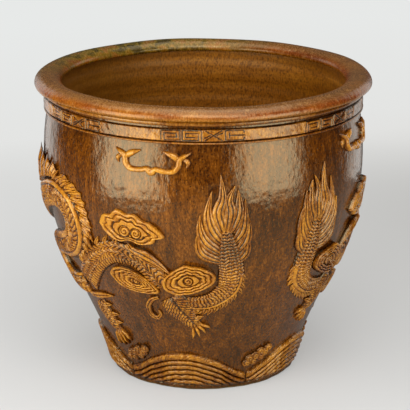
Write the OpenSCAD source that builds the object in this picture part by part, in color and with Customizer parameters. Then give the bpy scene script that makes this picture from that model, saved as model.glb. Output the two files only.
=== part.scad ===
/* [Vessel] */
// Overall height from the foot to the top of the rim
jar_h = 433; // [410:1:470]
// Radius of the standing face
foot_r = 134; // [115:1:145]
// How far the belly stands out past the neck
belly_out = 6; // [2:0.5:8]
// Height at which the wall is widest, as a share of the wall below the neck bead
belly_part = 0.8246; // [0.75:0.005:0.9]
// How the wall swells from foot to belly, lower is fuller
fullness = 0.78; // [0.7:0.01:0.9]
// Outer radius of the upright neck wall
neck_r = 222.5; // [218:0.5:226]
// Thickness of the thrown wall
wall_t = 13; // [10:0.5:18]
// Thickness of the base slab
floor_t = 16; // [12:1:24]
// How far the floor inside rises over the edge of the slab
floor_rise = 1.5; // [1:0.5:3]
// Heights of the three seams between the wall sections, as shares of the wall below the neck bead
seam_parts = [0.272, 0.513, 0.7];
// Layer of slip that each applied piece is stuck down with
slip_t = 0.3; // [0.3:0.05:0.5]

/* [Rim and neck] */
// How far the rolled rim stands out past the neck
rim_out = 17.5; // [14:0.5:24]
// How far the mouth edge of the rim stands in from the wall's inner face
rim_lip = 7.5; // [4:0.5:12]
// Height of the rolled rim
rim_h = 16.5; // [14:0.5:22]
// Height of the collar bead under the rim
collar_h = 8; // [6:0.5:10]
// How far the collar bead stands out from the neck
collar_out = 8; // [5:0.5:10]
// Plain step between the collar bead and the fret band
step_h = 3.5; // [2:0.5:5]
// Height of the fret band
fret_h = 17.5; // [15:0.5:22]
// Thickness of a fret strip
fret_t = 4; // [3:0.5:5]
// Depth of the lines pressed in a fret strip
line_d = 1.5; // [1:0.1:2]
// Width of the lines pressed in a fret strip
line_w = 1.6; // [1.2:0.1:2]
// Height of the thin bead under the fret band
bead_h = 3.4; // [2.5:0.1:5]
// How far the thin bead stands out from the neck
bead_out = 4.6; // [3:0.1:6]

/* [Applied relief] */
// Height of the dragon bodies off the wall
body_relief = 7.5; // [5:0.5:8.5]
// Width of the dragon bodies at the coil
body_w = 42; // [36:1:44]
// How much higher the thick coil of the neck stands than the rest of the body
coil_swell = 1.25; // [1:0.05:1.3]
// Height of the manes at the shoulder off the wall
mane_relief = 11; // [8:0.5:12]
// Height of the clouds off the wall
cloud_relief = 6; // [4:0.5:8]
// Height of the small bail motifs off the wall
bail_relief = 5; // [3:0.5:7]
// Width of the rod that a bail motif is bent from
bail_w = 7; // [5:0.5:8]
// Radius of the pearl
pearl_r = 19; // [15:1:21]
// Height of the pearl off the wall
pearl_relief = 8.5; // [6:0.5:10]

/* [Waves] */
// Height of a wave mound's peak above the foot
wave_top = 62; // [55:1:70]
// Height of the low point between two mounds
wave_low = 22; // [20:1:26]
// Plain edge left under the waves
foot_edge = 6; // [4:1:10]
// Height of the waves off the wall
wave_relief = 5.5; // [4:0.5:7]
// Length of a run of foam curls
foam_l = 50; // [36:1:52]
// Width of a run of foam curls
foam_w = 20; // [16:1:22]
// Slope at which the foam climbs the next mound, in degrees
foam_tilt = 28; // [10:1:32]

/* [Hidden] */
$fn = 96;
belly_r = neck_r + belly_out;
rim_r = neck_r + rim_out;
rim_w = rim_out + wall_t + rim_lip;
rim_z = jar_h - rim_h;
collar_z = rim_z - slip_t - collar_h;
fret_z = collar_z - step_h - fret_h;
bead_z = fret_z - slip_t - bead_h;
neck_z = bead_z - slip_t * 5;
belly_z = neck_z * belly_part;
seams = [for (f = seam_parts) neck_z * f];
strips = 7;
strip_pitch = 360 / strips;
strip_at = [for (k = [0:strips - 1]) strip_pitch * (k - 3)];
bail_turns = [-137, -43, 43, 137];
mounds = 5;
mound_pitch = 360 / mounds;
wall_step = 15;

// Outer radius of the wall at height z
function wall_r(z) =
    z < belly_z ? foot_r + (belly_r - foot_r) * pow(sin(90 * pow(max(z, 0) / belly_z, fullness)), 2)
    : z < neck_z ? belly_r - (belly_r - neck_r) * pow((z - belly_z) / (neck_z - belly_z), 2)
    : neck_r;

// Heights at which the wall's profile is drawn between two heights
function wall_zs(z0, z1) =
    let (n = max(1, round((z1 - z0) / wall_step)))
    [for (i = [0:n]) z0 + (z1 - z0) * i / n];

// Height for a percentage of the wall below the neck
function vz(v) = neck_z * v / 100;

// Point on the wall at an azimuth from the front, a height and a height off the wall
function wall_pt(u, z, h) =
    let (r = wall_r(z) + slip_t + h)
    [r * sin(u), -r * cos(u), z];

// Millimetres along the wall for one degree at height z
function per_deg(z) = wall_r(z) * PI / 180;

// Smooth curve through control points of any length, k steps to a span
function smooth(p, k) = [
    for (i = [0:len(p) - 2]) for (j = [0:k - 1])
        let (
            a = p[max(i - 1, 0)],
            b = p[i],
            c = p[i + 1],
            d = p[min(i + 2, len(p) - 1)],
            t = j / k
        )
        0.5 * (2 * b + (c - a) * t + (2 * a - 5 * b + 4 * c - d) * t * t
            + (3 * b - a - 3 * c + d) * t * t * t),
    p[len(p) - 1]
];

// Unit direction along a path of azimuth and percent, in millimetres on the wall
function heading(p, i) =
    let (
        a = p[max(i - 1, 0)],
        b = p[min(i + 1, len(p) - 1)],
        dx = (b[0] - a[0]) * per_deg(vz(p[i][1])),
        dz = vz(b[1]) - vz(a[1]),
        n = norm([dx, dz])
    )
    [dx / n, dz / n];

// Azimuth and height after a step along and across a path, in millimetres
function stepped(q, t, along, across) =
    let (z = vz(q[1]))
    [q[0] + (t[0] * along - t[1] * across) / per_deg(z), z + t[1] * along + t[0] * across];

// Closed solid with its underside on the wall and its top on a grid of azimuth, height, relief
module sheet(g) {
    rows = len(g);
    cols = len(g[0]);
    m = floor(rows / 2) - 1;
    c = floor(cols / 2) - 1;
    a = wall_pt(g[m][c][0], g[m][c][1], 0);
    b = wall_pt(g[m + 1][c][0], g[m + 1][c][1], 0);
    d = wall_pt(g[m][c + 1][0], g[m][c + 1][1], 0);
    out = [a[0], a[1], 0];
    turned = cross(b - a, d - a) * out < 0;
    top = [for (r = g) for (q = r) wall_pt(q[0], q[1], q[2])];
    under = [for (r = g) for (q = r) wall_pt(q[0], q[1], 0)];
    n = rows * cols;
    edge = concat(
        [for (j = [0:cols - 2]) j],
        [for (i = [0:rows - 2]) i * cols + cols - 1],
        [for (j = [cols - 1:-1:1]) (rows - 1) * cols + j],
        [for (i = [rows - 1:-1:1]) i * cols]
    );
    ne = len(edge);
    faces = concat(
        [for (i = [0:rows - 2]) for (j = [0:cols - 2]) each let (k = i * cols + j)
            [[k, k + 1, k + cols], [k + 1, k + cols + 1, k + cols]]],
        [for (i = [0:rows - 2]) for (j = [0:cols - 2]) each let (k = n + i * cols + j)
            [[k, k + cols, k + 1], [k + 1, k + cols, k + cols + 1]]],
        [for (e = [0:ne - 1]) each let (p = edge[e], q = edge[(e + 1) % ne])
            [[q, p, n + p], [q, n + p, n + q]]]
    );
    polyhedron(
        points = concat(top, under),
        faces = turned ? [for (f = faces) [f[2], f[1], f[0]]] : faces,
        convexity = 6
    );
}

// Domed clay strap along a path of azimuth, percent and width
module strap(path, h, k = 3, ends = 0.5) {
    p = smooth(path, k);
    n = len(p);
    sheet([for (i = [0:n - 1])
        let (
            t = heading(p, i),
            w = p[i][2],
            near_end = min(i, n - 1 - i) / k,
            hh = h * (near_end < 1 ? ends + (1 - ends) * near_end : 1)
        )
        [for (s = [-1, 0, 1])
            let (q = stepped(p[i], t, 0, s * w / 2)) [q[0], q[1], hh * (s == 0 ? 1 : 0.55)]]]);
}

// Strap that ends in a paw of pointed claws
module limb(path, h, claws, claw_l, k = 2) {
    p = smooth(path, k);
    n = len(p);
    cols = 2 * claws - 1;
    sheet([for (i = [0:n])
        let (
            ii = min(i, n - 1),
            t = heading(p, ii),
            w = p[ii][2],
            paw = i == n
        )
        [for (j = [0:cols - 1])
            let (
                s = 2 * j / (cols - 1) - 1,
                along = paw ? (j % 2 == 0 ? claw_l : claw_l * 0.25) : 0,
                across = s * w / 2 * (paw ? 1.35 : 1),
                q = stepped(p[ii], t, along, across)
            )
            [q[0], q[1], paw ? 2 : h * (1 - 0.4 * s * s)]]]);
}

// Fan of pointed locks between an inner line and a line of tips and valleys
module locks(inner, tips, h) {
    n = len(tips);
    base = [for (j = [0:n - 1])
        let (
            f = j / (n - 1) * (len(inner) - 1),
            i = min(floor(f), len(inner) - 2)
        )
        inner[i] + (inner[i + 1] - inner[i]) * (f - i)];
    sheet([for (r = [[0, 0.75], [0.35, 1], [0.7, 0.7], [1, 0.3]])
        [for (j = [0:n - 1])
            let (q = base[j] + (tips[j] - base[j]) * r[0])
            [q[0], vz(q[1]), h * r[1] * (j % 2 == 0 && r[0] > 0 ? 0.8 : 1)]]]);
}

// Pad with a raised border and a raised heart, inside a closed outline of azimuth and percent
module pad(c, outline, h, k = 3) {
    closed = smooth(concat(outline, [outline[0]]), k);
    p = [for (i = [0:len(closed) - 2]) closed[i]];
    n = len(p);
    rings = [[1, 0.55], [0.88, 1], [0.68, 0.62], [0.36, 0.8]];
    nr = len(rings);
    function at(f, i) = c + (p[i] - c) * f;
    top = [for (r = rings) for (i = [0:n - 1]) let (q = at(r[0], i)) wall_pt(q[0], vz(q[1]), h * r[1])];
    low = [for (f = [1, 0.68, 0.36]) for (i = [0:n - 1]) let (q = at(f, i)) wall_pt(q[0], vz(q[1]), 0)];
    pts = concat(top, [wall_pt(c[0], vz(c[1]), h)], low, [wall_pt(c[0], vz(c[1]), 0)]);
    tc = nr * n;
    b = tc + 1;
    bc = b + 3 * n;
    a0 = wall_pt(p[0][0], vz(p[0][1]), 0);
    a1 = wall_pt(p[1][0], vz(p[1][1]), 0);
    cc = wall_pt(c[0], vz(c[1]), 0);
    turned = cross(a0 - cc, a1 - cc) * [cc[0], cc[1], 0] < 0;
    function nx(i) = (i + 1) % n;
    faces = concat(
        [for (r = [0:nr - 2]) for (i = [0:n - 1]) each
            [[r * n + i, (r + 1) * n + i, r * n + nx(i)],
            [r * n + nx(i), (r + 1) * n + i, (r + 1) * n + nx(i)]]],
        [for (i = [0:n - 1]) [(nr - 1) * n + i, tc, (nr - 1) * n + nx(i)]],
        [for (r = [0:1]) for (i = [0:n - 1]) each
            [[b + r * n + i, b + r * n + nx(i), b + (r + 1) * n + i],
            [b + r * n + nx(i), b + (r + 1) * n + nx(i), b + (r + 1) * n + i]]],
        [for (i = [0:n - 1]) [b + 2 * n + i, b + 2 * n + nx(i), bc]],
        [for (i = [0:n - 1]) each [[i, nx(i), b + i], [nx(i), b + nx(i), b + i]]]
    );
    polyhedron(points = pts, faces = turned ? [for (f = faces) [f[2], f[1], f[0]]] : faces, convexity = 6);
}

// Ring of a rectangular section, or a piece of it, centred on an azimuth
module band(r0, r1, z0, z1, at, wide) {
    rotate([0, 0, at - wide / 2 - 90])
        rotate_extrude(angle = wide)
            translate([r0, z0])
                square([r1 - r0, z1 - z0]);
}

// Wall section between two heights, with an even thickness
module wall_section(z0, z1) {
    zs = wall_zs(z0, z1);
    n = len(zs) - 1;
    rotate_extrude()
        polygon(concat(
            [for (z = zs) [wall_r(z), z]],
            [for (i = [n:-1:0]) [wall_r(zs[i]) - wall_t, zs[i]]]
        ));
}

module base_slab() {
    color("#6b4a2a")
        rotate_extrude()
            polygon([[0, 0], [foot_r - 2, 0], [foot_r, 2], [wall_r(floor_t), floor_t],
                [wall_r(floor_t) - wall_t - 1, floor_t],
                [wall_r(floor_t) - wall_t - 1 - floor_rise, floor_t + floor_rise], [0, floor_t + floor_rise]]);
}

module foot_wall() {
    color("#5f3c1e") wall_section(floor_t, seams[0]);
}

module lower_wall() {
    color("#5f3c1e") wall_section(seams[0], seams[1]);
}

module belly_wall() {
    color("#5f3c1e") wall_section(seams[1], seams[2]);
}

module shoulder_wall() {
    zs = concat(wall_zs(seams[2], neck_z), [rim_z]);
    n = len(zs) - 1;
    color("#5f3c1e")
        rotate_extrude()
            polygon(concat(
                [for (z = zs) [wall_r(z), z]],
                [for (i = [n:-1:0]) [wall_r(zs[i]) - wall_t, zs[i]]]
            ));
}

module rolled_rim() {
    rise = rim_h * 0.72;
    color("#7a4f38")
        rotate_extrude()
            polygon([for (a = [0:10:350])
                let (s = sin(a), up = s > 0 ? rise : rim_h - rise, q = s > 0 ? s : s * 1.6)
                [rim_r - rim_w / 2 + rim_w / 2 * cos(a), max(rim_z, rim_z + rim_h - rise + up * q)]]);
}

module collar_bead() {
    r0 = neck_r + slip_t;
    color("#8a5c2e")
        rotate_extrude()
            polygon([[r0, collar_z], [r0 + collar_out * 0.6, collar_z],
                [r0 + collar_out * 0.95, collar_z + collar_h * 0.25],
                [r0 + collar_out, collar_z + collar_h * 0.5],
                [r0 + collar_out * 0.95, collar_z + collar_h * 0.75],
                [r0 + collar_out * 0.6, collar_z + collar_h], [r0, collar_z + collar_h]]);
}

module neck_bead() {
    r0 = neck_r + slip_t;
    color("#8a5c2e")
        rotate_extrude()
            polygon([[r0, bead_z], [r0 + bead_out * 0.7, bead_z], [r0 + bead_out, bead_z + bead_h / 2],
                [r0 + bead_out * 0.7, bead_z + bead_h], [r0, bead_z + bead_h]]);
}

// Pressed strip with two facing combs, a cross and a comb between plain ends
module fret_strip(at) {
    r0 = neck_r + slip_t;
    r1 = r0 + fret_t;
    unit = strip_pitch * 0.14;
    mm = 180 / PI / r1;
    top = fret_h - 2.2;
    lift = (fret_h - top) / 2 + line_w / 2;
    ys = [for (i = [0:4]) fret_z + lift + (top - line_w) * i / 4];
    xs = [for (i = [0:6]) unit * (i / 6 - 0.5) * 0.9];
    module across(c, x0, x1, i) {
        lo = min(x0, x1);
        hi = max(x0, x1);
        band(r1 - line_d, r1 + 1, ys[i] - line_w / 2, ys[i] + line_w / 2,
            c + (xs[lo] + xs[hi]) / 2, xs[hi] - xs[lo] + line_w * mm);
    }
    module down(c, x, i0, i1) {
        band(r1 - line_d * 0.8, r1 + 1.5, ys[i0] - line_w / 2, ys[i1] + line_w / 2, c + xs[x], line_w * mm);
    }
    module cross_lines(c) {
        run = (xs[5] - xs[1]) / mm;
        tilt = atan2(top - line_w, run);
        for (s = [-1, 1])
            rotate([0, 0, c - 90])
                translate([r1 - line_d, 0, fret_z + fret_h / 2])
                    rotate([s * tilt, 0, 0])
                        translate([0, -norm([run, top - line_w]) / 2, -line_w / 2])
                            cube([line_d + 1, norm([run, top - line_w]), line_w]);
    }
    module comb(c, turned) {
        down(c, turned ? 6 : 0, 0, 4);
        across(c, 0, 6, 4);
        across(c, 0, 6, 0);
        across(c, turned ? 0 : 2, turned ? 4 : 6, 2);
    }
    color("#c08a48")
        rotate([0, 0, at]) difference() {
            band(r0, r1, fret_z, fret_z + fret_h, 0, strip_pitch - 0.4);
            comb(-1.5 * unit, false);
            comb(-0.5 * unit, true);
            cross_lines(0.5 * unit);
            comb(1.5 * unit, false);
        }
}

// Bail motif: a bent rod with a drop at its middle and its ends opened in leaves
module bail(at) {
    color("#c08a48") {
        strap([[at - 14, 97.6, bail_w * 0.4], [at - 10.5, 96, bail_w], [at - 9.5, 93, bail_w],
            [at - 7, 91, bail_w], [at - 3.5, 91, bail_w], [at, 89.6, bail_w * 1.2],
            [at + 3.5, 91, bail_w], [at + 7, 91, bail_w], [at + 9.5, 93, bail_w],
            [at + 10.5, 96, bail_w], [at + 14, 97.6, bail_w * 0.4]], bail_relief);
        for (s = [-1, 1])
            strap([[at + s * 8.2, 95.6, bail_w * 0.7], [at + s * 6.6, 97, bail_w],
                [at + s * 4.6, 97.8, bail_w * 0.4]], bail_relief * 0.8);
    }
}

// Neck and coil of the dragon on the right, from behind its head to the foot of its arch
module coil() {
    w = body_w;
    color("#b98645")
        strap([[147, 67, w * 0.6], [139, 59.5, w * 0.75], [129, 56.4, w * 0.85], [119, 59.6, w * 0.9],
            [111, 65, w * 0.95], [103.5, 69.2, w], [96, 72.2, w], [88.4, 73.8, w], [81.6, 71.8, w],
            [78.2, 66.6, w], [78.8, 60.6, w], [82.6, 56.2, w], [88.8, 53.8, w], [95.4, 52.6, w * 0.93],
            [101, 50.4, w * 0.84], [103.4, 45.8, w * 0.78], [101, 41, w * 0.78], [95.4, 38.6, w * 0.8],
            [90.4, 38, w * 0.8], [87.2, 38.4, w * 0.78]], body_relief * coil_swell);
}

module arch() {
    w = body_w;
    color("#b98645")
        strap([[81.2, 40.6, w * 0.86], [76, 46.4, w * 0.9], [69, 53, w * 0.86], [61, 57.6, w * 0.84],
            [53, 57.8, w * 0.8], [46.5, 54.5, w * 0.74], [43.8, 51, w * 0.66]], body_relief, 4);
}

module tail() {
    w = body_w;
    color("#b98645")
        strap([[28.6, 39.8, w * 0.4], [25, 40.2, w * 0.5], [21, 41.6, w * 0.62], [16, 46, w * 0.8],
            [15.2, 52, w * 0.88], [16, 58, w * 0.8], [17, 64, w * 0.62], [18, 70.5, w * 0.3]],
            body_relief * 1.05, 4);
}

module tail_flame() {
    color("#c4924c")
        locks(
            [[23, 56.5], [22.6, 62], [21.6, 68], [19, 73.2], [16.6, 73.2], [13.6, 68], [12, 62], [10.8, 56.5]],
            [[24.4, 56.8], [26.6, 62], [25, 64], [28, 68.4], [25.4, 70], [27, 76], [24.2, 75.5], [24.6, 80],
                [22.6, 78.4], [22.4, 84.6], [20.4, 80], [19, 90], [17, 82], [15, 86], [14, 79], [11.6, 81.5],
                [12, 75], [9.8, 77.5], [10.8, 70.5], [8.6, 72], [10, 65], [8.2, 65.6], [9.4, 57]],
            body_relief * 0.85
        );
}

module back_fins() {
    color("#c4924c")
        locks(
            [[84.8, 81], [79.4, 79.4], [75.4, 76], [72, 71.4], [71.6, 66.2], [71.9, 60.8]],
            [[84.2, 83], [80, 85.6], [79, 82.2], [74.2, 84.2], [74.4, 80.8], [70.4, 81.6], [71.6, 77.8],
                [68, 77], [69.8, 74.4], [66.8, 72], [69, 70.6], [66.4, 68], [69, 66.6], [66.8, 64.2],
                [69.4, 62.8], [67.6, 60.8], [70.6, 59.8]],
            body_relief * 0.7
        );
}

module mane() {
    color("#c4924c")
        locks(
            [[117.5, 68.8], [110.5, 73], [103, 76.6], [95, 79.4], [88, 81]],
            [[120.5, 71.5], [121, 78.5], [117, 79.6], [116, 86], [111.6, 84.2], [108.6, 88.6], [105, 83.4],
                [101.4, 87.6], [98.8, 82.6], [94.6, 87], [92.4, 83], [89, 86.4], [87.4, 82.6]],
            mane_relief
        );
}

module hind_leg() {
    w = body_w;
    color("#b98645")
        limb([[38.2, 40, w * 0.75], [35.6, 36.8, w * 0.86], [31.8, 32.6, w * 0.62], [28, 28.6, w * 0.46]],
            body_relief, 4, 14);
}

module fore_leg() {
    w = body_w;
    color("#b98645")
        limb([[79, 32.8, w * 0.66], [77, 28.8, w * 0.7], [74.8, 24.4, w * 0.56], [72.6, 20.8, w * 0.54]],
            body_relief, 4, 14);
}

module elbow_fin() {
    color("#c4924c")
        strap([[85, 34.4, 6], [80.6, 34.9, 9], [76, 35.8, 10], [72, 36.7, 8.5], [66.8, 37.6, 2.5]],
            body_relief * 0.8);
}

module curl() {
    color("#c4924c")
        strap([[43.8, 41.2, 5], [46.8, 40, 7], [48.8, 37, 7.5], [48.6, 33.6, 7.5], [46.2, 31.9, 6.5],
            [44.2, 33.6, 5], [44.6, 35.6, 3]], body_relief * 0.8);
}

module head() {
    color("#b98645")
        pad([157, 71], [[149.4, 66], [153, 63], [158, 64.6], [164, 63.6], [167, 67], [163.4, 69],
            [168.4, 72], [168, 77], [163, 78], [158, 81], [153, 84.4], [151.6, 78], [148, 72]],
            body_relief * 1.15, 2);
}

module upper_cloud() {
    color("#c08a48")
        pad([51, 67.6], [[63, 69], [60.6, 73.4], [55.6, 75], [51, 74.8], [47, 73.6], [42.6, 71.6],
            [39, 67], [42.4, 64.4], [47.6, 63.2], [52, 64], [56, 63.6], [60.6, 65]], cloud_relief, 2);
}

module low_cloud() {
    color("#c08a48")
        pad([53, 47.2], [[63.6, 48.6], [61.8, 50.8], [58.4, 51.6], [54.8, 51.4], [51.4, 50.6], [48.4, 48.8],
            [46.6, 46], [45, 43.6], [48.6, 42.6], [54, 42.8], [59, 44.2], [62.4, 46.2]], cloud_relief, 2);
}

module front_cloud() {
    color("#c08a48")
        pad([31.2, 49.6], [[41, 48.8], [38.2, 52.2], [35, 54.6], [32, 56], [28.4, 55.2], [24.6, 54.2],
            [21.6, 51.6], [22, 48.8], [25, 46.2], [29.4, 44.4], [35, 43.6], [39.2, 44.8]], cloud_relief, 2);
}

module pearl() {
    rings = 5;
    n = 24;
    // Round dome: rings of points from the edge to the crown, over a ring seated on the wall
    mid = vz(70);
    function spot(f, i) =
        [180 + pearl_r * f * cos(360 * i / n) / per_deg(mid), mid + pearl_r * f * sin(360 * i / n)];
    top = [for (r = [0:rings - 1]) for (i = [0:n - 1])
        let (f = cos(90 * r / rings), q = spot(f, i))
        wall_pt(q[0], q[1], 1 + (pearl_relief - 1) * sqrt(1 - f * f))];
    low = [for (f = [1, 0.5]) for (i = [0:n - 1]) let (q = spot(f, i)) wall_pt(q[0], q[1], 0)];
    tc = rings * n;
    b = tc + 1;
    bc = b + 2 * n;
    function nx(i) = (i + 1) % n;
    color("#c9a05e")
        polyhedron(
            points = concat(top, [wall_pt(180, mid, pearl_relief)], low, [wall_pt(180, mid, 0)]),
            faces = concat(
                [for (r = [0:rings - 2]) for (i = [0:n - 1]) each
                    [[r * n + i, (r + 1) * n + i, r * n + nx(i)],
                    [r * n + nx(i), (r + 1) * n + i, (r + 1) * n + nx(i)]]],
                [for (i = [0:n - 1]) [(rings - 1) * n + i, tc, (rings - 1) * n + nx(i)]],
                [for (i = [0:n - 1]) each
                    [[b + i, b + nx(i), b + n + i], [b + nx(i), b + n + nx(i), b + n + i]]],
                [for (i = [0:n - 1]) [b + n + i, b + n + nx(i), bc]],
                [for (i = [0:n - 1]) each [[i, nx(i), b + i], [nx(i), b + nx(i), b + i]]]
            ),
            convexity = 4
        );
}

// Flames that rise round the pearl, open below it
module pearl_flame() {
    mid = vz(70);
    rise = 100 / neck_z;
    function ray(a, d) = [180 + d * sin(a) / per_deg(mid), 70 + d * cos(a) * rise];
    color("#c4924c")
        locks(
            [for (a = [-140:20:140]) ray(a, pearl_r + 1.5)],
            [for (j = [0:20]) ray(-140 + 14 * j, pearl_r + (j % 2 == 0 ? 7 : 20 - abs(j - 10) * 0.8))],
            body_relief * 0.7
        );
}

// Mound of nested wave lines centred on an azimuth
module wave(at) {
    half = mound_pitch / 2 - 2.5;
    cols = 14;
    rows = 10;
    gap = (wave_top - foot_edge) / (rows + 1) * 0.9;
    color("#8a5f30")
        sheet([for (i = [0:rows])
            [for (j = [0:cols])
                let (
                    du = half * (2 * j / cols - 1),
                    crest = wave_low + (wave_top - wave_low) * pow(cos(90 * du / (half + 4)), 1.5),
                    z = max(foot_edge + 0.5 * i, crest - gap * (rows - i))
                )
                [at + du, z, wave_relief * (i % 2 == 0 ? 1 : 0.5)]]]);
}

// Run of foam curls that climbs from the hollow between two mounds
module foam(at) {
    c = wave_low + 28;
    lift = 100 / neck_z;
    color("#9a6c38")
        pad([at, c * lift], [for (i = [0:11])
            let (
                d = i % 2 == 0 ? 1 : 0.86,
                x = foam_l / 2 * d * cos(30 * i),
                y = foam_w / 2 * d * sin(30 * i)
            )
            [at + (x * cos(foam_tilt) - y * sin(foam_tilt)) / per_deg(c),
                (c + x * sin(foam_tilt) + y * cos(foam_tilt)) * lift]],
            wave_relief, 2);
}

// The dragon on the left is the mirror image of the one on the right
module left() {
    mirror([1, 0, 0]) children();
}

base_slab();
foot_wall();
lower_wall();
belly_wall();
shoulder_wall();
rolled_rim();
collar_bead();
neck_bead();
fret_strip(strip_at[0] + strip_pitch / 2);  // fret_strip_1
fret_strip(strip_at[1] + strip_pitch / 2);  // fret_strip_2
fret_strip(strip_at[2] + strip_pitch / 2);  // fret_strip_3
fret_strip(strip_at[3] + strip_pitch / 2);  // fret_strip_4
fret_strip(strip_at[4] + strip_pitch / 2);  // fret_strip_5
fret_strip(strip_at[5] + strip_pitch / 2);  // fret_strip_6
fret_strip(strip_at[6] + strip_pitch / 2);  // fret_strip_7
bail(bail_turns[0]);  // bail_far_left
bail(bail_turns[1]);  // bail_near_left
bail(bail_turns[2]);  // bail_near_right
bail(bail_turns[3]);  // bail_far_right
left() coil();  // left_coil
left() arch();  // left_arch
left() tail();  // left_tail
left() tail_flame();  // left_tail_flame
left() back_fins();  // left_back_fins
left() mane();  // left_mane
left() hind_leg();  // left_hind_leg
left() fore_leg();  // left_fore_leg
left() elbow_fin();  // left_elbow_fin
left() curl();  // left_curl
left() head();  // left_head
left() upper_cloud();  // left_upper_cloud
left() low_cloud();  // left_low_cloud
left() front_cloud();  // left_front_cloud
coil();  // right_coil
arch();  // right_arch
tail();  // right_tail
tail_flame();  // right_tail_flame
back_fins();  // right_back_fins
mane();  // right_mane
hind_leg();  // right_hind_leg
fore_leg();  // right_fore_leg
elbow_fin();  // right_elbow_fin
curl();  // right_curl
head();  // right_head
upper_cloud();  // right_upper_cloud
low_cloud();  // right_low_cloud
front_cloud();  // right_front_cloud
pearl();
pearl_flame();
wave(-mound_pitch * 1.5);  // wave_1
wave(-mound_pitch / 2);  // wave_2
wave(mound_pitch / 2);  // wave_3
wave(mound_pitch * 1.5);  // wave_4
wave(180);  // wave_5
foam(-mound_pitch * 2);  // foam_1
foam(-mound_pitch + 8);  // foam_2
foam(5);  // foam_3
foam(mound_pitch);  // foam_4
foam(mound_pitch * 2);  // foam_5
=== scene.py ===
"""Glazed stoneware martaban jar with applied dragons, on a plain pale floor."""
import math

import bmesh
import bpy
import numpy as np
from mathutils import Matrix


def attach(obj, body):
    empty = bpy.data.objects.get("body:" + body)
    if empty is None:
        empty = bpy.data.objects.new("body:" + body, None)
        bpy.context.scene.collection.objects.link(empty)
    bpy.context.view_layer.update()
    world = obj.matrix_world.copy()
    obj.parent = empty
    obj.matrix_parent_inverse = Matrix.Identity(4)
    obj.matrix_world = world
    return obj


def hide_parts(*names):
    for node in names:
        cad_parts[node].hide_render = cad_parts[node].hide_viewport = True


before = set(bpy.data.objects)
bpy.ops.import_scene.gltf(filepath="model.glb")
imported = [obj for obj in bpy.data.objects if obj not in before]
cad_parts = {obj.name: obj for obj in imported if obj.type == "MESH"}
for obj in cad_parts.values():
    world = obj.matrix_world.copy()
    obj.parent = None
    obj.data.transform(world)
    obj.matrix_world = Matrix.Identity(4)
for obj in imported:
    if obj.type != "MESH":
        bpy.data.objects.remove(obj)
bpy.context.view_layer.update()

# Sizes in mm
JAR_H = 433.0
FOOT_R = 134.0
BELLY_R = 228.5
FULLNESS = 0.78
NECK_R = 222.5
WALL_T = 13.0
FLOOR_T = 16.0
RIM_R = 240.0
RIM_W = 38.0
RIM_H = 16.5
SLIP = 0.3
RIM_Z = JAR_H - RIM_H
COLLAR_H = 8.0
COLLAR_OUT = 8.0
COLLAR_Z = RIM_Z - SLIP - COLLAR_H
FRET_H = 17.5
FRET_T = 4.0
FRET_Z = COLLAR_Z - 3.5 - FRET_H
BEAD_H = 3.4
BEAD_OUT = 4.6
BEAD_Z = FRET_Z - SLIP - BEAD_H
NECK_Z = BEAD_Z - 1.5
BELLY_Z = 0.8246 * NECK_Z
FLOOR_RISE = 1.5
WAVE_TOP = 62.0
WAVE_LOW = 22.0
FOOT_EDGE = 6.0
SUNK = 2.6


def wall_r(z):
    """Outer radius of the wall at a height."""
    z = np.asarray(z, float)
    low = FOOT_R + (BELLY_R - FOOT_R) * np.sin(
        np.pi / 2 * (np.clip(z, 0, BELLY_Z) / BELLY_Z) ** FULLNESS
    ) ** 2
    above = np.clip(z - BELLY_Z, 0, NECK_Z - BELLY_Z) / (NECK_Z - BELLY_Z)
    high = BELLY_R - (BELLY_R - NECK_R) * above**2
    return np.where(z < BELLY_Z, low, high)


def per_deg(z):
    """Millimetres round the wall for one degree."""
    return wall_r(z) * math.pi / 180


def on_wall(az, z, h):
    """Points in metres at an azimuth from the front, a height and a height off the wall."""
    r = (wall_r(z) + h) * 0.001
    a = np.radians(az)
    return np.stack([r * np.sin(a), -r * np.cos(a), np.asarray(z, float) * 0.001 + 0 * r], -1)


def smooth_path(points, k=12):
    """Curve through control points, k steps to a span."""
    p = np.asarray(points, float)
    out = []
    for i in range(len(p) - 1):
        a, b, c, d = p[max(i - 1, 0)], p[i], p[i + 1], p[min(i + 2, len(p) - 1)]
        for t in np.arange(k) / k:
            cubic = (3 * b - a - 3 * c + d) * t**3
            out.append(0.5 * (2 * b + (c - a) * t + (2 * a - 5 * b + 4 * c - d) * t**2 + cubic))
    out.append(p[-1])
    return np.array(out)


def tri(x):
    """Zigzag from 0 at whole numbers to 1 half way between."""
    return 1 - np.abs(1 - 2 * (x - np.floor(x)))


def ease(x, a, b):
    """Smooth rise from 0 at a to 1 at b."""
    t = np.clip((x - a) / (b - a), 0, 1)
    return t * t * (3 - 2 * t)


def waver(x, y, seed):
    """Gentle unevenness of hand work, about -1 to 1."""
    rng = np.random.default_rng(seed)
    total = 0 * x + 0 * y
    for k in range(5):
        fx, fy = rng.uniform(-1, 1, 2) * (1 + 0.7 * k)
        total = total + np.sin(fx * x + fy * y + rng.uniform(0, 6.28)) / (1 + 0.6 * k)
    return total / 2.4


def pressed(az, z, h):
    """Relief of pressed and smeared clay, uneven over the whole of the applied work."""
    uneven = 0.6 * waver(az * 0.8, z * 0.21, 301) + 0.5 * waver(az * 2.1, z * 0.5, 302)
    return np.maximum(h + 0.45 * uneven, 0.2)


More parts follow.
